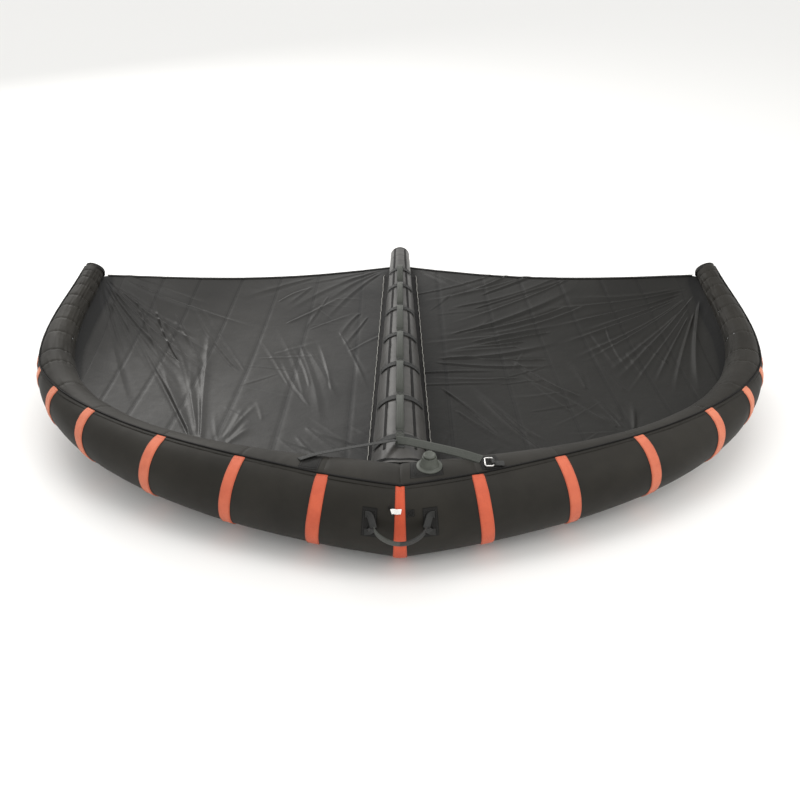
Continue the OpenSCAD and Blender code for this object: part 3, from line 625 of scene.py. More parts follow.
def seam_band(name, ts, side, material, low=-84.0, nodes=()):
    """A folded tape sewn over a cross seam, from just below the piping round the front of the tube."""
    both = ts == 0
    half = BAND_W / 2 / float(speed(np.array(ts)))
    high = float(piping_angle(ts)) - 1.5
    if both:
        s_t = np.linspace(-half, half, 13)
    else:
        s_t = np.linspace(ts - half, ts + half, 13)
    a = np.linspace(high, low, 56)
    sw = np.linspace(-1, 1, 13)
    rows = []
    for layer in (0.0014, 0.0001):
        pts = []
        for i, st in enumerate(s_t):
            wob = 0.012 * half * np.sin(a * 0.11 + ts * 40)
            sd = (1 if st >= 0 else -1) if both else side
            tq = abs(st) if both else st
            tq = np.clip(tq + wob * (0 if both else 1), 0, 1)
            lift = layer if abs(sw[i]) < 0.99 else layer * 0.35 + 0.0001
            relief = tube_relief(tq + 0 * a, a, sd if both else side)
            crown = 0.0012 * (1 - sw[i] ** 2) * smooth((high - a) / 6)
            pts.append(skin(tq + 0 * a, a, np.maximum(relief, -0.0004) + lift + crown + 0.0006, sd))
        rows.append(np.stack(pts, 1))
    top, low_layer = rows
    p = np.concatenate([top, low_layer[:, ::-1]], 1)
    arc = np.radians(high - a) * float(radius(ts))
    u = np.repeat(arc[:, None], 26, 1)
    w = np.concatenate([sw, sw[::-1]]) * BAND_W / 2
    uv = np.stack([u, np.repeat(w[None], len(a), 0)], -1)
    n, m = p.shape[:2]
    faces = [tuple(f) for f in grid_faces(n, m, wrap=True, flip=(side > 0))]
    cap = [tuple(range(m)), tuple((n - 1) * m + j for j in range(m - 1, -1, -1))]
    faces += cap if side < 0 else [c[::-1] for c in cap]
    ob = mesh_object(name, p.reshape(-1, 3), faces, material, "wing", uv.reshape(-1, 2))
    settle(ob, "orange_tape", *nodes)
    for c in (1, 11):
        line = top[:, c]
        nrm = skin_normal(np.full(len(a), abs(s_t[c])), a, (1 if s_t[c] >= 0 else -1) if both else side)
        stitch_orange.run(line, nrm, lift=0.0002)
    row = top[2]
    nrm = skin_normal(np.full(13, max(ts, 0.0)), np.full(13, a[2]), side)
    stitch_orange.run(row, nrm, lift=0.0002)
    return ob


seam_band("band_mid", 0, -1, ORANGE_TAPES_SHEEN_PAINTED[0], nodes=("seam_band_mid",))
for side, tag in ((-1, "l"), (1, "r")):
    for k in range(1, 7):
        seam_band("band_%s%d" % (tag, k), SEAMS[k], side, ORANGE_TAPES_SHEEN_PAINTED[min(7, k)],
                nodes=("seam_band_%s%d" % (tag, k),))
    for k in range(1, len(TIP_SEAMS) - 1):
        nodes = ("tip_bands",) if (k == 1 and side < 0) else ()
        seam_band("band_tip_%s%d" % (tag, k), TIP_SEAMS[k], side, ORANGE_TAPES_SHEEN_PAINTED[7], low=-80.0, nodes=nodes)

# ---------------------------------------------------------------- piping with its sewn flange
tp = np.concatenate([-np.linspace(0.992, 0, 420), np.linspace(0, 0.992, 420)[1:]])
sd = np.where(tp < 0, -1, 1)


def along_tube(tvals, sides, angle_shift, off):
    pts, nrm = [], []
    for tq, s in zip(tvals, sides):
        a = float(piping_angle(abs(tq))) + angle_shift / float(radius(abs(tq)))
        pts.append(skin(abs(tq), a, off, s))
        nrm.append(skin_normal(abs(tq), a, s))
    return np.array(pts), np.array(nrm)


deg = math.degrees(1)
pp, pn = along_tube(tp, sd, 0, 0.0021)
wobble = 0.0004 * (noise(tp * 90, 0 * tp, 3) - 0.5)
pip = cord_mesh("piping_cord", pp + pn * wobble[:, None], 0.0024, M_TAPE, sides=10)
settle(pip, "black_trim", "le_piping")
fp, fn = along_tube(tp, sd, -0.0065 * deg, 0.0008)
flange = ribbon("piping_flange", fp, fn, 0.011, 0.0008, M_TUBE)
for shift in (-0.0085, 0.0050):
    lp, ln = along_tube(tp, sd, shift * deg, 0.0018)
    stitch_black.run(lp, ln, pitch=0.0055, lift=0.0001)

# ---------------------------------------------------------------- gathered tip closures
for side, tag in ((-1, "l"), (1, "r")):
    rim_a = np.linspace(-90, 270, 97)[:-1]
    along = axes(np.array(1.0))[0] * np.array([side, 1, 1])
    rim = skin(np.full(96, 1.0), rim_a, 0, side)
    mid = rim.mean(0)
    rings = []
    for f, out_d in ((1.015, -0.012), (1.03, 0.0), (1.0, 0.0032), (0.86, 0.0048), (0.66, 0.0056),
            (0.42, 0.0058), (0.2, 0.0052), (0.02, 0.0045)):
        fold = 0.0014 * np.cos(np.radians(rim_a * 14)) * (1 - f) * 3 * f
        rings.append(mid + (rim - mid) * f + along * (out_d + fold)[:, None])
    ob = grid_object("tip_closure_" + tag, np.array(rings), M_DARK, wrap=True, flip=side < 0)
    settle(ob, "black_trim", "tip_cap_" + tag)


# ---------------------------------------------------------------- strut
def strut_relief(y, a):
    h = 0 * (y + a)
    for seam in ANCHORS + [1.76]:
        s = y - seam - 0.030
        h = h - 0.0010 * np.exp(-(s / 0.004) ** 2) + np.exp(-np.abs(s) / 0.03) * (noise(a / 9, s / 0.05
                + seam, 3) - 0.5) * 0.0018
    for sa in (58, 122, 214, 326):
        arc = np.radians((a - sa + 180) % 360 - 180) * strut_r(y)
        h = h - 0.0011 * np.exp(-(arc / 0.0035) ** 2)
        h = h + np.exp(-np.abs(arc) / 0.016) * (noise(y / 0.02, 0 * y + sa, 9) - 0.5) * 0.0016
    return h + (noise(y * 16, a / 30, 14) - 0.5) * 0.0015


def le_back(x, z):
    return np.abs(x) * math.tan(SWEEP_ANGLE) * 1.06 + np.sqrt(np.maximum(0, R_MID ** 2 - (z - R_MID) ** 2))


sa_ = np.linspace(-90, 270, 129)[:-1]
ys = np.linspace(0.18, STRUT_L, 430)
yy, aa = np.meshgrid(ys, sa_, indexing="ij")
body_p = strut_pt(yy, aa, strut_relief(yy, aa))
front = strut_pt(np.full(128, 0.14), sa_, 0.0)
fy = le_back(front[:, 0], front[:, 2])
lead = []
for f in np.linspace(0, 1, 12)[:-1]:
    y = (fy + 0.002) * (1 - f) + 0.18 * f
    lead.append(strut_pt(y, sa_, strut_relief(y, sa_) * f + 0.004 * (1 - f) ** 3))
p = np.concatenate([np.array(lead), body_p])
ob = grid_object("strut_tube", p, M_STRUT, wrap=True, flip=True)
settle(ob, "tube_cloth", "strut_casing")
collar_a = np.linspace(-90, 270, 97)
c0 = strut_pt(np.full(97, 0.14), collar_a, 0.002)
cy = le_back(c0[:, 0], c0[:, 2]) + 0.014
cpt, cn = strut_line(cy, collar_a, 0.0016)
collar = ribbon("strut_collar", cpt, cn, 0.024, 0.0014, M_TAPE)
for shift in (-0.009, 0.009):
    q = strut_pt(cy + shift, collar_a, 0.0026)
    stitch_black.run(q, cn, pitch=0.005)
# longitudinal taped seams on both sides of the crown
for sa0 in (58, 122):
    ysm = np.linspace(0.19, STRUT_L - 0.004, 260)
    q, nn = strut_line(ysm, np.full(260, float(sa0)), 0.0008)
    tape = ribbon("strut_seam_%d" % sa0, q, nn, 0.009, 0.0010, M_TAPE)
    q2 = strut_pt(ysm, np.full(260, float(sa0)), 0.0016)
    stitch_black.run(q2, nn, pitch=0.005)
# domed end: eight gores drawn to a small patch
rings = []
for f in np.linspace(0, 1, 14):
    rr = SR_R * math.cos(f * math.pi / 2 * 0.96)
    out_d = 0.0158 * math.sin(f * math.pi / 2)
    gore = 1 - 0.03 * np.abs(np.sin(np.radians(sa_ * 4))) * math.sin(f * math.pi)
    rings.append(np.stack([rr * gore * np.cos(np.radians(sa_)), np.full(128, STRUT_L + out_d - MID_Y),
            strut_z(STRUT_L) + rr * gore * np.sin(np.radians(sa_))], -1))
ob = grid_object("strut_end", np.array(rings), M_DARK, wrap=True, flip=True)
settle(ob, "black_trim", "strut_end_cap")
for fa in (0.004, 0.012):
    q, nn = strut_line(np.full(97, STRUT_L - fa), collar_a, 0.0008)
    stitch_black.run(q, nn, pitch=0.005)

# webbing along the crown, cross straps with their feet
CROWN = math.atan((0.209 - 0.096) / 1.77)
crown_n = np.array([0, math.sin(CROWN), math.cos(CROWN)])
crown_t = np.array([0, math.cos(CROWN), -math.sin(CROWN)])
yw = np.linspace(0.176, ANCHORS[-1] + 0.04, 200)
wpts = strut_pt(yw, np.full(200, 90.0), 0.0014)
lie = ribbon("crown_webbing", wpts, same(crown_n, 200), WEB, 0.0016, M_WEB_DARK, crown=-0.0006)
settle(lie, "webbing", "strut_webbing")
for i, ya in enumerate(ANCHORS):
    aa_ = np.linspace(28, 152, 49)
    q, nn = strut_line(np.full(49, ya), aa_, 0.0039)
    ob = ribbon("cross_strap_%d" % (i + 1), q, nn, WEB, 0.0014, M_WEB_DARK)
    settle(ob, "webbing", *(("strut_cross_straps",) if i == 0 else ()))
    for sgn in (-1, 1):
        off = sgn * 0.0105
        line = q + np.array([0, off, 0])
        stitch_black.run(line[1:-1], nn[1:-1], pitch=0.005, lift=0.0007)
    # folded foot: webbing turned back on itself, with a box stitch on its top
    base = np.array([0, ya - MID_Y, strut_z(ya) + strut_r(ya)]) + crown_n * 0.0050
    s = np.linspace(0, 1, 41)
    loop = np.stack([np.interp(s, [0, .42, .5, .92, 1], [-0.0145, 0.0145, 0.0145, -0.0135, -0.0150]),
                     np.interp(s, [0, .42, .46, .5, .54, .95, 1],
                     [0.0, 0.0, 0.0012, 0.0044, 0.0050, 0.0050, 0.0034])], -1)
    q = base + loop[:, :1] * crown_t + loop[:, 1:] * crown_n
    nrm = np.gradient(q, axis=0)
    nrm = np.cross(np.array([1.0, 0, 0]), nrm)
    ob = ribbon("strap_foot_%d" % (i + 1), q, nrm, WEB, 0.0022, M_WEB, across=same((1.0, 0, 0), 41))
    c = base + crown_n * 0.0066
    box_pts = [(-0.0105, -0.010), (0.0105, -0.010), (0.0105, 0.010), (-0.0105, 0.010), (-0.0105, -0.010),
            (0.0105, 0.010), (0.0105, -0.010), (-0.0105, 0.010)]
    line = np.array([c + x * np.array([1.0, 0, 0]) + y_ * crown_t for x, y_ in box_pts])
    stitch_black.run(line, same(crown_n, 8), pitch=0.0045, lift=0.0001)

# grip loops, each on its own body
for k in range(1, 7):
    y0, y1 = ANCHORS[k - 1] + 0.018, ANCHORS[k] - 0.018
    span = (y1 - y0) / math.cos(CROWN)
    org = np.array([0, y0 - MID_Y, 0.209 - 0.113 * (y0 - 0.13) / 1.77]) + crown_n * 0.010
    s = np.linspace(0, 1, 81)
    rise = 0.034 * np.sin(np.pi * s) ** 0.6 + 0.0012
    q = org + (s * span)[:, None] * crown_t + rise[:, None] * crown_n
    tan = np.gradient(q, axis=0)
    nrm = np.cross(np.array([1.0, 0, 0]), tan)
    twist = 0.10 * np.sin(np.pi * s) * (1 if k % 2 else -1)
    across = np.stack([np.cos(twist), 0 * s, np.sin(twist)], -1)
    ob = ribbon("grip_loop_%d" % k, q, nrm, WEB * (1 - 0.12 * np.sin(np.pi * s) ** 2), 0.0024, M_WEB,
            body="handle_%d" % k,
                crown=0.0008, across=across)
    settle(ob, "webbing", "strut_handle_%d" % k)


# ---------------------------------------------------------------- canopy
def canopy_front(w):
    return skin(0.003 + 0.972 * w * w, 246.0, 0.0023, 1)


def canopy_rear(w):
    c = canopy_front(np.array(1.0)) + np.array([0, MID_Y, 0])
    return np.stack([0.004 + (c[0] - 0.024) * w,
                     1.888 + (c[1] + 0.024 - STRUT_L) * w - 0.040 * np.sin(np.pi * w) - MID_Y,
                     0.0026 + (c[2] - 0.0026) * w - 0.014 * np.sin(np.pi * w)], -1)


SEAM_REAR = np.array([-0.16, 0.0, 0.163, 0.346, 0.49, 0.633, 0.78, 0.90, 1.03])
SEAM_FRONT = np.array([-0.17, 0.0, 0.172, 0.42, 0.61, 0.765, 0.895, 0.985, 1.06])


def fold(x, y, x0, y0, x1, y1, height, width, bend=0.0):
    """One crease from (x0, y0) to (x1, y1): a sharp crest with a softer far side that fades at its ends."""
    length = math.hypot(x1 - x0, y1 - y0)
    ux, uy = (x1 - x0) / length, (y1 - y0) / length
    s = ((x - x0) * ux + (y - y0) * uy) / length
    d = -(x - x0) * uy + (y - y0) * ux - bend * length * np.sin(np.pi * np.clip(s, 0, 1))
    w = width * (0.45 + 0.9 * np.clip(s, 0, 1))
    ends = smooth(s / 0.10) * smooth((1 - s) / 0.45)
    q = d / w
    crest = np.exp(-np.abs(q) ** 1.4 * np.where(q > 0, 1.0, 2.2)) - 0.35 * np.exp(-((q + 1.3) / 0.8) ** 2)
    return height * ends * crest


def fan(x, y, cx, cy, lo, hi, count, reach, height, width, seed):
    """Creases that run out from the point (cx, cy) between the directions lo and hi, in degrees."""
    r = np.random.default_rng(seed)
    h = 0 * x
    for k in range(count):
        a = math.radians(lo + (hi - lo) * (k + 0.5 + r.uniform(-0.38, 0.38)) / count)
        near, far = r.uniform(0.03, 0.12), reach * r.uniform(0.55, 1.1)
        h = h + fold(x, y, cx + near * math.cos(a), cy + near * math.sin(a), cx + far * math.cos(a), cy
                + far * math.sin(a),
                     height * r.uniform(0.5, 1.2), width * r.uniform(0.7, 1.3), r.uniform(-0.03, 0.03))
    return h


def bundle(x, y, cx, cy, angle, length, spread, count, height, width, seed, scatter=8.0):
    """Nearly parallel creases round the point (cx, cy), along a direction in degrees."""
    r = np.random.default_rng(seed)
    h = 0 * x
    for k in range(count):
        a = math.radians(angle + r.uniform(-scatter, scatter))
        off = spread * ((k + 0.5) / count - 0.5) * 2 + r.uniform(-0.5, 0.5) * spread / count
        b = math.radians(angle)
        mx = cx - off * math.sin(b) + r.uniform(-0.25, 0.25) * length * math.cos(b)
        my = cy + off * math.cos(b) + r.uniform(-0.25, 0.25) * length * math.sin(b)
        half = length * r.uniform(0.3, 0.6)
        flip = 1 if r.uniform() > 0.5 else -1
        h = h + fold(x, y, mx - flip * half * math.cos(a), my - flip * half * math.sin(a), mx
                + flip * half * math.cos(a), my + flip * half * math.sin(a),
                     height * r.uniform(0.5, 1.25), width * r.uniform(0.6, 1.3), r.uniform(-0.05, 0.05))
    return h


def wrinkles(x, y, side):
    """Height of the canopy's creases over the plan, in metres. x runs outward, y from the tube's axis aft."""
    if side > 0:
        h = fan(x, y, 1.10, 1.10, 150, 262, 13, 0.55, 0.0075, 0.011, 21)
        h += bundle(x, y, 0.46, 1.32, 6, 0.55, 0.30, 13, 0.0060, 0.012, 22, 9)
        h += bundle(x, y, 0.30, 0.98, -6, 0.40, 0.18, 8, 0.0045, 0.010, 23, 12)
        h += bundle(x, y, 0.40, 0.72, -58, 0.50, 0.20, 9, 0.0060, 0.013, 24, 8)
        h += bundle(x, y, 0.78, 0.86, -72, 0.34, 0.16, 6, 0.0040, 0.011, 25, 10)
        h += fan(x, y, 0.05, 1.86, -60, -8, 8, 0.60, 0.0045, 0.010, 26)
        h += fan(x, y, 0.74, 0.42, 70, 130, 6, 0.32, 0.0055, 0.010, 27)
        h += fan(x, y, 0.10, 0.24, 20, 80, 7, 0.30, 0.0040, 0.009, 28)
        seed = 100
    else:
        h = fan(x, y, 1.12, 1.16, 196, 250, 12, 0.62, 0.0075, 0.011, 41)
        h += fan(x, y, 1.12, 1.17, 172, 184, 3, 0.55, 0.0060, 0.012, 49)
        h += fan(x, y, 0.62, 0.36, 58, 84, 8, 0.80, 0.0075, 0.013, 42)
        h += fan(x, y, 0.58, 0.38, 98, 122, 4, 0.34, 0.0060, 0.012, 48)
        h += bundle(x, y, 0.80, 0.98, 62, 0.40, 0.18, 8, 0.0060, 0.011, 43, 4)
        h += bundle(x, y, 0.34, 0.90, 70, 0.50, 0.16, 8, 0.0050, 0.012, 44, 8)
        h += fan(x, y, 0.05, 1.86, -70, -8, 11, 0.70, 0.0050, 0.010, 45)
        h += bundle(x, y, 0.30, 1.32, 120, 0.36, 0.22, 9, 0.0042, 0.010, 46, 16)
        h += bundle(x, y, 0.20, 0.46, 40, 0.34, 0.12, 7, 0.0045, 0.010, 47, 14)
        seed = 200
    h += bundle(x, y, 0.42, 0.95, 20, 0.22, 0.62, 14, 0.0016, 0.009, seed + 5, 60)
    h += 0.0040 * (noise(x * 5.5, y * 5.5, seed + 42) - 0.5)
    h += 0.0016 * (noise(x * 14, y * 14, seed + 43) - 0.5)
    return h


def edge_gap(p):
    """Distance in plan from the tube's inner edge."""
    line = canopy_front(np.linspace(0, 1, 240) ** 0.8)[:, :2]
    best = np.full(p.shape[:2], 9.0)
    for c in line:
        best = np.minimum(best, np.hypot(p[..., 0] - c[0], p[..., 1] - c[1]))
    return best


def canopy_half(name, side, material, nodes):
    nw, nv = 470, 430
    w = np.linspace(0, 1, nw) ** 0.85
    v = np.linspace(0, 1, nv)
    ww, vv = np.meshgrid(w, v, indexing="ij")
    a, b = canopy_front(ww), canopy_rear(ww)
    p = a + (b - a) * vv[..., None]
    drop = 0.040 * np.sin(np.pi * ww) * np.sin(np.pi * vv)
    z = p[..., 2] - drop
    x, y = p[..., 0], p[..., 1] + MID_Y
    hem_fade = smooth((1 - vv) / 0.015) * 0.7 + 0.3
    edge = smooth(vv / 0.05) * hem_fade * smooth(ww / 0.03)
    h = wrinkles(x, y, side) * edge * (0.62 if side < 0 else 0.7)
    lo = np.minimum(p[..., 2], 0.0055)
    z = np.maximum(np.maximum(z, lo) + h, 0.0022)
    # the panel seams draw the cloth in slightly
    frac = np.zeros(x.shape)
    for i in range(nv):
        xs = SEAM_FRONT + (SEAM_REAR - SEAM_FRONT) * v[i]
        frac[:, i] = np.interp(x[:, i], xs, np.arange(len(xs)) - 1.0)
    d = np.abs((frac + 0.5) % 1 - 0.5)
    z += 0.0014 * (1 - np.exp(-(d / 0.05) ** 2)) * edge
    q = np.stack([x * side, p[..., 1], z], -1)
    ob = grid_object(name, q, material, flip=side > 0, uv=np.stack([frac, edge_gap(p)], -1))
    settle(ob, "canopy_cloth", *nodes)
    return ob, q


can_l, ql = canopy_half("canopy_left", -1, M_CANOPY_PAINTED_LIT_L, ("canopy_l",))
can_r, qr = canopy_half("canopy_right", 1, M_CANOPY_PAINTED_SHADE_R, ("canopy_r",))
for side, q, tag in ((-1, ql, "l"), (1, qr, "r")):
    e = q[:, -1]
    e = e[::2]
    up = same((0, 0, 1.0), len(e))
    ob = ribbon("canopy_hem_" + tag, e + np.array([0, 0.0045, 0.0006]), up, 0.014, 0.0016, M_TAPE)
    settle(ob, "black_trim", *(("trailing_hem",) if tag == "l" else ()))
    for dy in (-0.001, 0.009):
        stitch_black.run(e[1:-1] + np.array([0, dy, 0.0015]), up[1:-1], pitch=0.006, lift=0.0001)
# cloth strips beside the strut, each with a pale line where it is sewn to the canopy; the line's pale grey is
# a painted highlight on the seam
for side, q, tag in ((-1, ql, "l"), (1, qr, "r")):
    rows = []
    line = []
    for vv in np.linspace(0.035, 0.955, 120):
        j = int(vv * (q.shape[1] - 1))
        col = q[:, j]
        ya = col[0, 1] + MID_Y
        want = strut_r(ya) * math.cos(math.radians(30)) + 0.024
        i = int(np.argmin(np.abs(np.abs(col[:, 0]) - want)))
        low = col[i] + np.array([0, 0, 0.0018])
        yb = low[1] + MID_Y
        hi = np.array([side * (strut_r(yb) + 0.001) * math.cos(math.radians(26)), low[1],
                       strut_z(yb) - (strut_r(yb) + 0.001) * math.sin(math.radians(26))])
        r = []
        for f in np.linspace(0, 1, 9):
            c = hi + (low - hi) * f
            c = c + np.array([-side * 0.010 * math.sin(math.pi * f), 0, -0.004 * math.sin(math.pi * f)
                    + 0.0015 * float(noise(vv * 60, f * 2, 77 + side)) * math.sin(math.pi * f)])
            r.append(c)
        r.append(low + np.array([side * 0.010, 0, 0.0008]))
        rows.append(r)
        line.append(low + np.array([side * 0.0085, 0, 0.0016]))
    ob = grid_object("strut_strip_" + tag, np.array(rows), M_TAPE, flip=side < 0)
    sol = ob.modifiers.new("t", "SOLIDIFY")
    sol.thickness = 0.0006
    sol.offset = 1
    settle(ob, "black_trim", *(("strut_skirts",) if tag == "l" else ()))
    ln = cord_mesh("strip_highlight_line_" + tag, np.array(line), 0.0014, M_HIGHLIGHT_LINE, sides=8)

# ---------------------------------------------------------------- strap over the strut, patches, ring
UPV = np.array([0, 0, 1.0])


def bezier_path(points, n=60):
    pts = np.array(points, float)
    s = np.linspace(0, 1, n)
    seg = np.concatenate([[0], np.cumsum(np.linalg.norm(np.diff(pts, axis=0), axis=1))])
    seg /= seg[-1]
    raw = np.stack([np.interp(s, seg, pts[:, c]) for c in range(3)], -1)
    for _ in range(14):
        raw[1:-1] = 0.25 * raw[:-2] + 0.5 * raw[1:-1] + 0.25 * raw[2:]
    return raw


def row(x, y, z):
    return [x, y - MID_Y, z]


left_path = bezier_path([row(-0.272, 0.062, 0.2505), row(-0.250, 0.074, 0.2515),
        row(-0.226, 0.088, 0.2500), row(-0.120, 0.146, 0.2330), row(-0.012, 0.203, 0.2150)])
right_path = bezier_path([row(-0.012, 0.203, 0.2150), row(0.010, 0.200, 0.2155), row(0.080, 0.152, 0.2310),
        row(0.158, 0.094, 0.2495), row(0.218, 0.056, 0.2540)])
nl = same((-0.05, 0.34, 0.94), 60)
nr = same((0.0, -0.55, 0.83), 60)
# One strap drawn in the dark webbing on its left half and the lighter webbing on its right: lit and shaded
# copies, painted light on the right half.
strap_l = ribbon("over_strap_left", left_path, nl, WEB, 0.0020, M_WEB_DARK)
strap_r = ribbon("over_strap_right_painted_lit", right_path, nr, WEB, 0.0020, M_WEB)
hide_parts("v_strap_l")
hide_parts("v_strap_r")


def tube_patch(name, t0, t1, a0, a1, side, material, off=0.0012, thick=0.0012, rows_n=24, cols=18):
    t = np.linspace(t0, t1, cols)
    a = np.linspace(a0, a1, rows_n)
    top, under = [], []
    for i, ta in enumerate(t):
        rim = min(i, cols - 1 - i)
        for lst, lay in ((top, off + thick), (under, off)):
            fade = np.minimum(np.minimum(np.arange(rows_n), np.arange(rows_n)[::-1]), rim)
            o = np.where(fade == 0, off + (lay - off) * 0.3, lay)
            relief = np.maximum(tube_relief(ta + 0 * a, a, side), -0.0006)
            lst.append(skin(ta + 0 * a, a, o + relief, side))
    top, under = np.array(top), np.array(under)
    n, m = top.shape[:2]
    v = np.concatenate([top.reshape(-1, 3), under.reshape(-1, 3)])
    flip = side > 0
    f = list(map(tuple, grid_faces(n, m, flip=flip))) + list(map(tuple,
            grid_faces(n, m, flip=not flip, base=n * m)))
    rim_idx = [j for j in range(m)] + [i * m + m - 1 for i in range(1, n)] + [(n - 1) * m
            + j for j in range(m - 2, -1, -1)] + [i * m for i in range(n - 2, 0, -1)]
    for q in range(len(rim_idx)):
        r0, r1 = rim_idx[q], rim_idx[(q + 1) % len(rim_idx)]
        quad = (r0, r0 + n * m, r1 + n * m, r1)
        f.append(quad[::-1] if not flip else quad)
    uv = np.stack(np.meshgrid(np.linspace(0, 0.05, n), np.linspace(0, 0.06, m), indexing="ij"),
            -1).reshape(-1, 2)
    ob = mesh_object(name, v, f, material, "wing", np.concatenate([uv, uv]))
    ins_t, ins_a = (t1 - t0) * 0.10, (a1 - a0) * 0.09
    loop = []
    corners = [(t0 + ins_t, a0 + ins_a), (t1 - ins_t, a0 + ins_a), (t1 - ins_t, a1 - ins_a),
            (t0 + ins_t, a1 - ins_a), (t0 + ins_t, a0 + ins_a), (t1 - ins_t, a1 - ins_a),
            (t1 - ins_t, a0 + ins_a), (t0 + ins_t, a1 - ins_a)]
    for (ta, aa1), (tb, ab) in zip(corners[:-1], corners[1:]):
        for g in np.linspace(0, 1, 12)[:-1]:
            loop.append((ta + (tb - ta) * g, aa1 + (ab - aa1) * g))
    lt = np.array([c[0] for c in loop])
    la = np.array([c[1] for c in loop])
    stitch_black.run(skin(lt, la, off + thick + 0.0004, side), skin_normal(lt, la, side), pitch=0.0045,
            lift=0.0004)
    return ob


for side, tag in ((-1, "l"), (1, "r")):
    ob = tube_patch("strap_patch_" + tag, 0.0548, 0.0684, 79, 112, side, M_DARK)
    settle(ob, "black_trim", *(("v_strap_anchors",) if tag == "l" else ()))

# rectangular ring of round bar, its corners bent, and the loop that holds it
cx, cy_, cz = 0.238, 0.042, 0.2561
hw, hl, cr_ = 0.011, 0.018, 0.005
ring_pts = []
for qx, qy, start_a in ((1, 1, 0), (-1, 1, 90), (-1, -1, 180), (1, -1, 270)):
    for g in np.linspace(0, 90, 9):
        an = math.radians(start_a + g)
        ring_pts.append([cx + qx * (hw - cr_) + cr_ * math.cos(an), cy_ + qy * (hl - cr_)
                + cr_ * math.sin(an) - MID_Y, cz])
ring = cord_mesh("strap_eye", ring_pts, 0.0020, M_METAL, body="ring", sides=14, closed=True)
settle(ring, "ring_metal", "strap_ring")
ang = np.radians(np.linspace(-115, 235, 40))
bar = np.array([cx + hw, cy_ - MID_Y, cz])
arcp = np.stack([bar[0] + 0.0042 * np.cos(ang), np.full(40, bar[1]), bar[2] + 0.0042 * np.sin(ang)], -1)
tail = np.array([[bar[0] + x, bar[1], bar[2] - 0.0040 - x * 0.02] for x in np.linspace(0.030, 0.003, 14)])
path = np.concatenate([tail, arcp])
nrm = np.cross(np.gradient(path, axis=0), np.array([0, 1.0, 0]))
loop_ob = ribbon("ring_holder", path, nrm, 0.021, 0.0013, M_WEB_DARK, across=same((0, 1.0, 0), len(path)))
settle(loop_ob, "webbing", "ring_loop")

# ---------------------------------------------------------------- valve
VX, VY, VZ = 0.078, 0.030 - MID_Y, 0.252
flange_prof = [(0.0345, -0.0022), (0.0352, -0.0005), (0.0350, 0.0010), (0.0335, 0.0022), (0.0300, 0.0026),
        (0.0292, 0.0036), (0.0270, 0.0042), (0.0262, 0.0060), (0.0250, 0.0080),
               (0.0240, 0.0105), (0.0236, 0.0108), (0.0226, 0.0150), (0.0221, 0.0155), (0.0208, 0.0215),
               (0.0203, 0.0220), (0.0192, 0.0292), (0.0186, 0.0300), (0.0150, 0.0302),
               (0.0090, 0.0300), (0.0082, 0.0290), (0.0080, 0.0240), (0.0080, 0.0090), (0.0128, 0.0078),
               (0.0130, -0.0030), (0.0080, -0.0042), (0.0080, -0.0118), (0.0188, -0.0118),
               (0.0190, -0.0010), (0.0345, -0.0022)]
ob = lathe("valve_body", flange_prof, (VX, VY, VZ), M_VALVE, steps=96)
settle(ob, "valve_plastic", "valve_base")
cap_prof = [(0.0001, 0.0312), (0.0120, 0.0312), (0.0166, 0.0313), (0.0170, 0.0320), (0.0172, 0.0350),
        (0.0168, 0.0360), (0.0158, 0.0368), (0.0142, 0.0378), (0.0120, 0.0380), (0.0110, 0.0374),
        (0.0060, 0.0372), (0.0001, 0.0372)]
cap = lathe("valve_lid", cap_prof, (VX, VY, VZ), M_VALVE, body="cap", steps=120, bumps=30, bump=0.012)
settle(cap, "valve_plastic", "valve_cap")
tether = np.array([[VX, VY + 0.0150, VZ + 0.0335], [VX, VY + 0.0185, VZ + 0.0337],
        [VX, VY + 0.0205, VZ + 0.0333], [VX, VY + 0.0218, VZ + 0.0328]])
ob = ribbon("valve_lid_tab", bezier_path(tether, 16), same(UPV, 16), 0.009, 0.0022, M_VALVE, body="cap")
tether_path = bezier_path([[VX, VY + 0.0225, VZ + 0.0325], [VX, VY + 0.0252, VZ + 0.0300],
        [VX, VY + 0.0262, VZ + 0.0180], [VX, VY + 0.0272, VZ + 0.0060]], 24)
ob = ribbon("valve_tether", tether_path, same((0, 1.0, 0.1), 24), 0.008, 0.0016, M_VALVE)
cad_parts["valve_plunger"].data.materials.clear()
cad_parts["valve_plunger"].data.materials.append(M_RUBBER)
for n in ("le_bladder", "strut_bladder", "air_hose"):
    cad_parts[n].data.materials.clear()
    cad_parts[n].data.materials.append(M_FILM)
ob = tube_patch("valve_patch", 0.0070, 0.0285, 78, 118, 1, M_DARK, off=0.0003, thick=0.0008, rows_n=30,
        cols=26)

# ---------------------------------------------------------------- front grip, its patches and the tag
for side, tag in ((-1, "l"), (1, "r")):
    ob = tube_patch("grip_patch_" + tag, 0.0137, 0.0224, 1, 38, side, M_DARK)
    settle(ob, "black_trim", *(("front_handle_patches",) if tag == "l" else ()))
HA, HANG = math.radians(20), math.radians(15)
GRIP_HALF, GRIP_T = 0.066, 0.0181
hinge = np.array([0, -0.141 * math.cos(HA) - MID_Y, R_MID + 0.141 * math.sin(HA)])
down = np.array([0, -math.cos(HANG), -math.sin(HANG)])
face = np.array([0, math.sin(HANG), -math.cos(HANG)])
s = np.linspace(0, 1, 101)
depth = 0.046 * np.sin(np.pi * s) ** 0.6 + 0.0012
xs = -GRIP_HALF + 2 * GRIP_HALF * s
q = hinge + xs[:, None] * np.array([1.0, 0, 0]) + depth[:, None] * down
tan = np.gradient(q, axis=0)
roll = math.radians(8) * np.sin(np.pi * s)
across = face[None] * np.cos(roll)[:, None] - down[None] * np.sin(roll)[:, None]
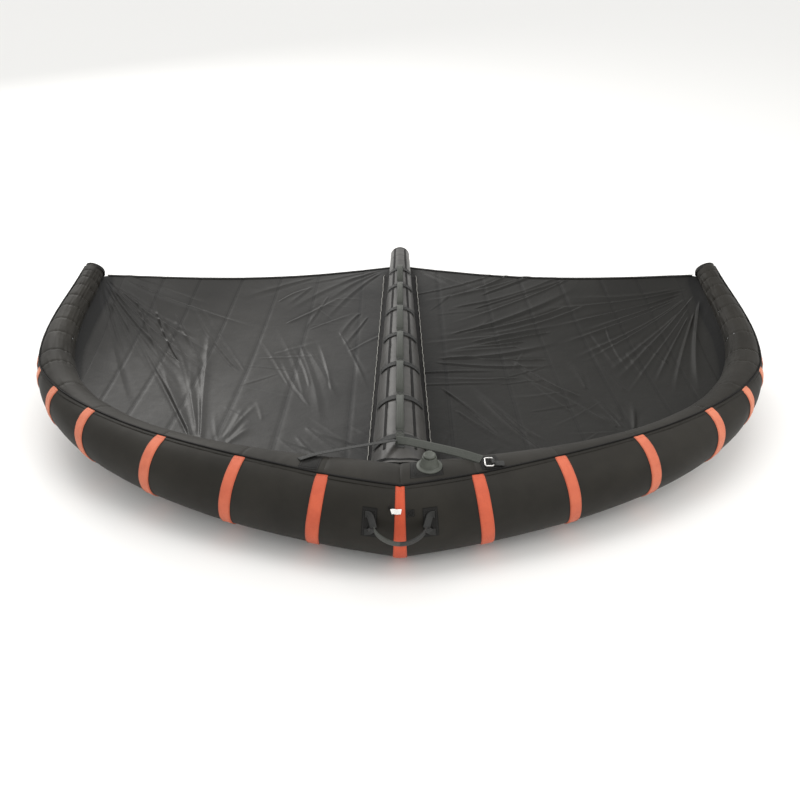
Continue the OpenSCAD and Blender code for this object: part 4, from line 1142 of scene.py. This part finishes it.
# The grip is one strap drawn as a lighter left half and a dark right half: lit and shaded copies, painted
# light on the left half.
for lo, hi_, name, mt in ((0, 53, "front_grip_left_painted_lit", M_WEB), (50, 101, "front_grip_right", M_WEB_DARK)):
    ob = ribbon(name, q[lo:hi_], np.cross(across[lo:hi_], tan[lo:hi_]), WEB, 0.0024, mt, body="front_grip",
            across=across[lo:hi_])
    settle(ob, "webbing", *(("front_handle",) if lo == 0 else ()))
for side in (-1, 1):
    x0 = side * GRIP_HALF
    a0 = hinge + np.array([x0, 0, 0])
    pa = skin(GRIP_T, 30.0, 0.0034, side)
    pb = skin(GRIP_T, 8.0, 0.0034, side)
    for i, pe in enumerate((pa, pb)):
        ob = ribbon("grip_root_%s%d" % ("l" if side < 0 else "r", i),
                bezier_path([pe + np.array([0.012 * side, 0, 0]), pe, (pe + a0) / 2
                + np.array([0, -0.001, 0]), a0 + np.array([side * 0.0015, 0.001, 0.0])], 24),
                    np.repeat(skin_normal(GRIP_T, 20.0, side)[None], 24, 0), 0.018, 0.0016, M_WEB_DARK)
TAG = np.array([-0.028, -0.0958 - MID_Y, 0.2117])
an = np.linspace(0, 2 * math.pi, 33)[:-1]
loop = np.stack([np.full(32, TAG[0]), TAG[1] + 0.006 * np.cos(an), TAG[2] + 0.006 * np.sin(an)], -1)
ob = cord_mesh("tag_cord", loop, 0.0014, M_TAPE, sides=10, closed=True)
settle(ob, "black_trim", "tag_loop")
c, sn = math.cos(math.radians(60)), math.sin(math.radians(60))
base = TAG + np.array([0.005, -0.012, -0.004])
u = np.linspace(0, 1, 24)
tag_line = base[None] + np.stack([0.026 * u, 0.0008 * np.sin(u * 5), 0.0009 * np.sin(u * 9)], -1)
ob = ribbon("blank_tag", tag_line, same((0, -sn, c), 24), 0.0135, 0.0013, M_TAG, body="tag")
settle(ob, "white_tag", "pull_tag")
ob = tube_patch("small_patch", 0.0046, 0.0088, 30, 38, 1, M_DARK, thick=0.0010, rows_n=8, cols=8)

ob = stitch_black.done("stitching_dark", M_THREAD)
ob = stitch_orange.done("stitching_orange", M_THREAD_OR)

# ---------------------------------------------------------------- floor, light and camera
floor_me = bpy.data.meshes.new("floor")
floor_me.from_pydata([(-14, -10, 0), (14, -10, 0), (14, 26, 0), (-14, 26, 0)], [], [(0, 1, 2, 3)])
floor = bpy.data.objects.new("floor", floor_me)
bpy.context.scene.collection.objects.link(floor)
m, nt, b = principled("studio_floor", (0.95, 0.95, 0.945), 0.85)
b.inputs["Specular IOR Level"].default_value = 0.2
fn_ = node(nt, "ShaderNodeTexNoise", Scale=2.0, Detail=3.0)
nt.links.new(ramp_color(nt, fn_.outputs[0], [(0.3, (0.85, 0.85, 0.84)), (0.7, (0.88, 0.88, 0.87))]),
        b.inputs["Base Color"])
floor_me.materials.append(m)

world = bpy.data.worlds.new("studio")
bpy.context.scene.world = world
world.use_nodes = True
world.node_tree.nodes["Background"].inputs[0].default_value = (1.0, 0.995, 0.985, 1)
world.node_tree.nodes["Background"].inputs[1].default_value = 1.0


def area_light(name, loc, target, size, power, color=(1, 1, 1)):
    d = bpy.data.lights.new(name, "AREA")
    d.shape = "RECTANGLE"
    d.size, d.size_y = size
    d.energy = power
    d.color = color
    o = bpy.data.objects.new(name, d)
    o.location = loc
    o.rotation_euler = (Vector(target) - Vector(loc)).to_track_quat("-Z", "Y").to_euler()
    bpy.context.scene.collection.objects.link(o)
    return o


area_light("key", (-2.4, 3.4, 2.6), (-0.2, 0.2, 0.1), (2.6, 1.6), 95, (1.0, 0.985, 0.96))
area_light("fill", (2.6, -1.6, 2.6), (0, 0, 0.1), (2.4, 2.4), 32, (1.0, 0.97, 0.93))
area_light("top", (0, -0.4, 3.6), (0, -0.2, 0.1), (3.2, 1.6), 42)

FOCAL_SHARE = 891 / 800
CAMERA_BACK, CAMERA_HIGH, CAMERA_DIP = 1.881, 1.668, 0.564
cam_d = bpy.data.cameras.new("camera")
cam_d.sensor_width = 36
cam_d.lens = FOCAL_SHARE * cam_d.sensor_width
cam_d.clip_end = 60
cam = bpy.data.objects.new("camera", cam_d)
cam.location = (0, -CAMERA_BACK - MID_Y, CAMERA_HIGH)
cam.rotation_euler = (math.pi / 2 - CAMERA_DIP, 0, 0)
bpy.context.scene.collection.objects.link(cam)
bpy.context.scene.camera = cam
bpy.context.scene.view_settings.view_transform = "Standard"
bpy.context.scene.view_settings.look = "None"
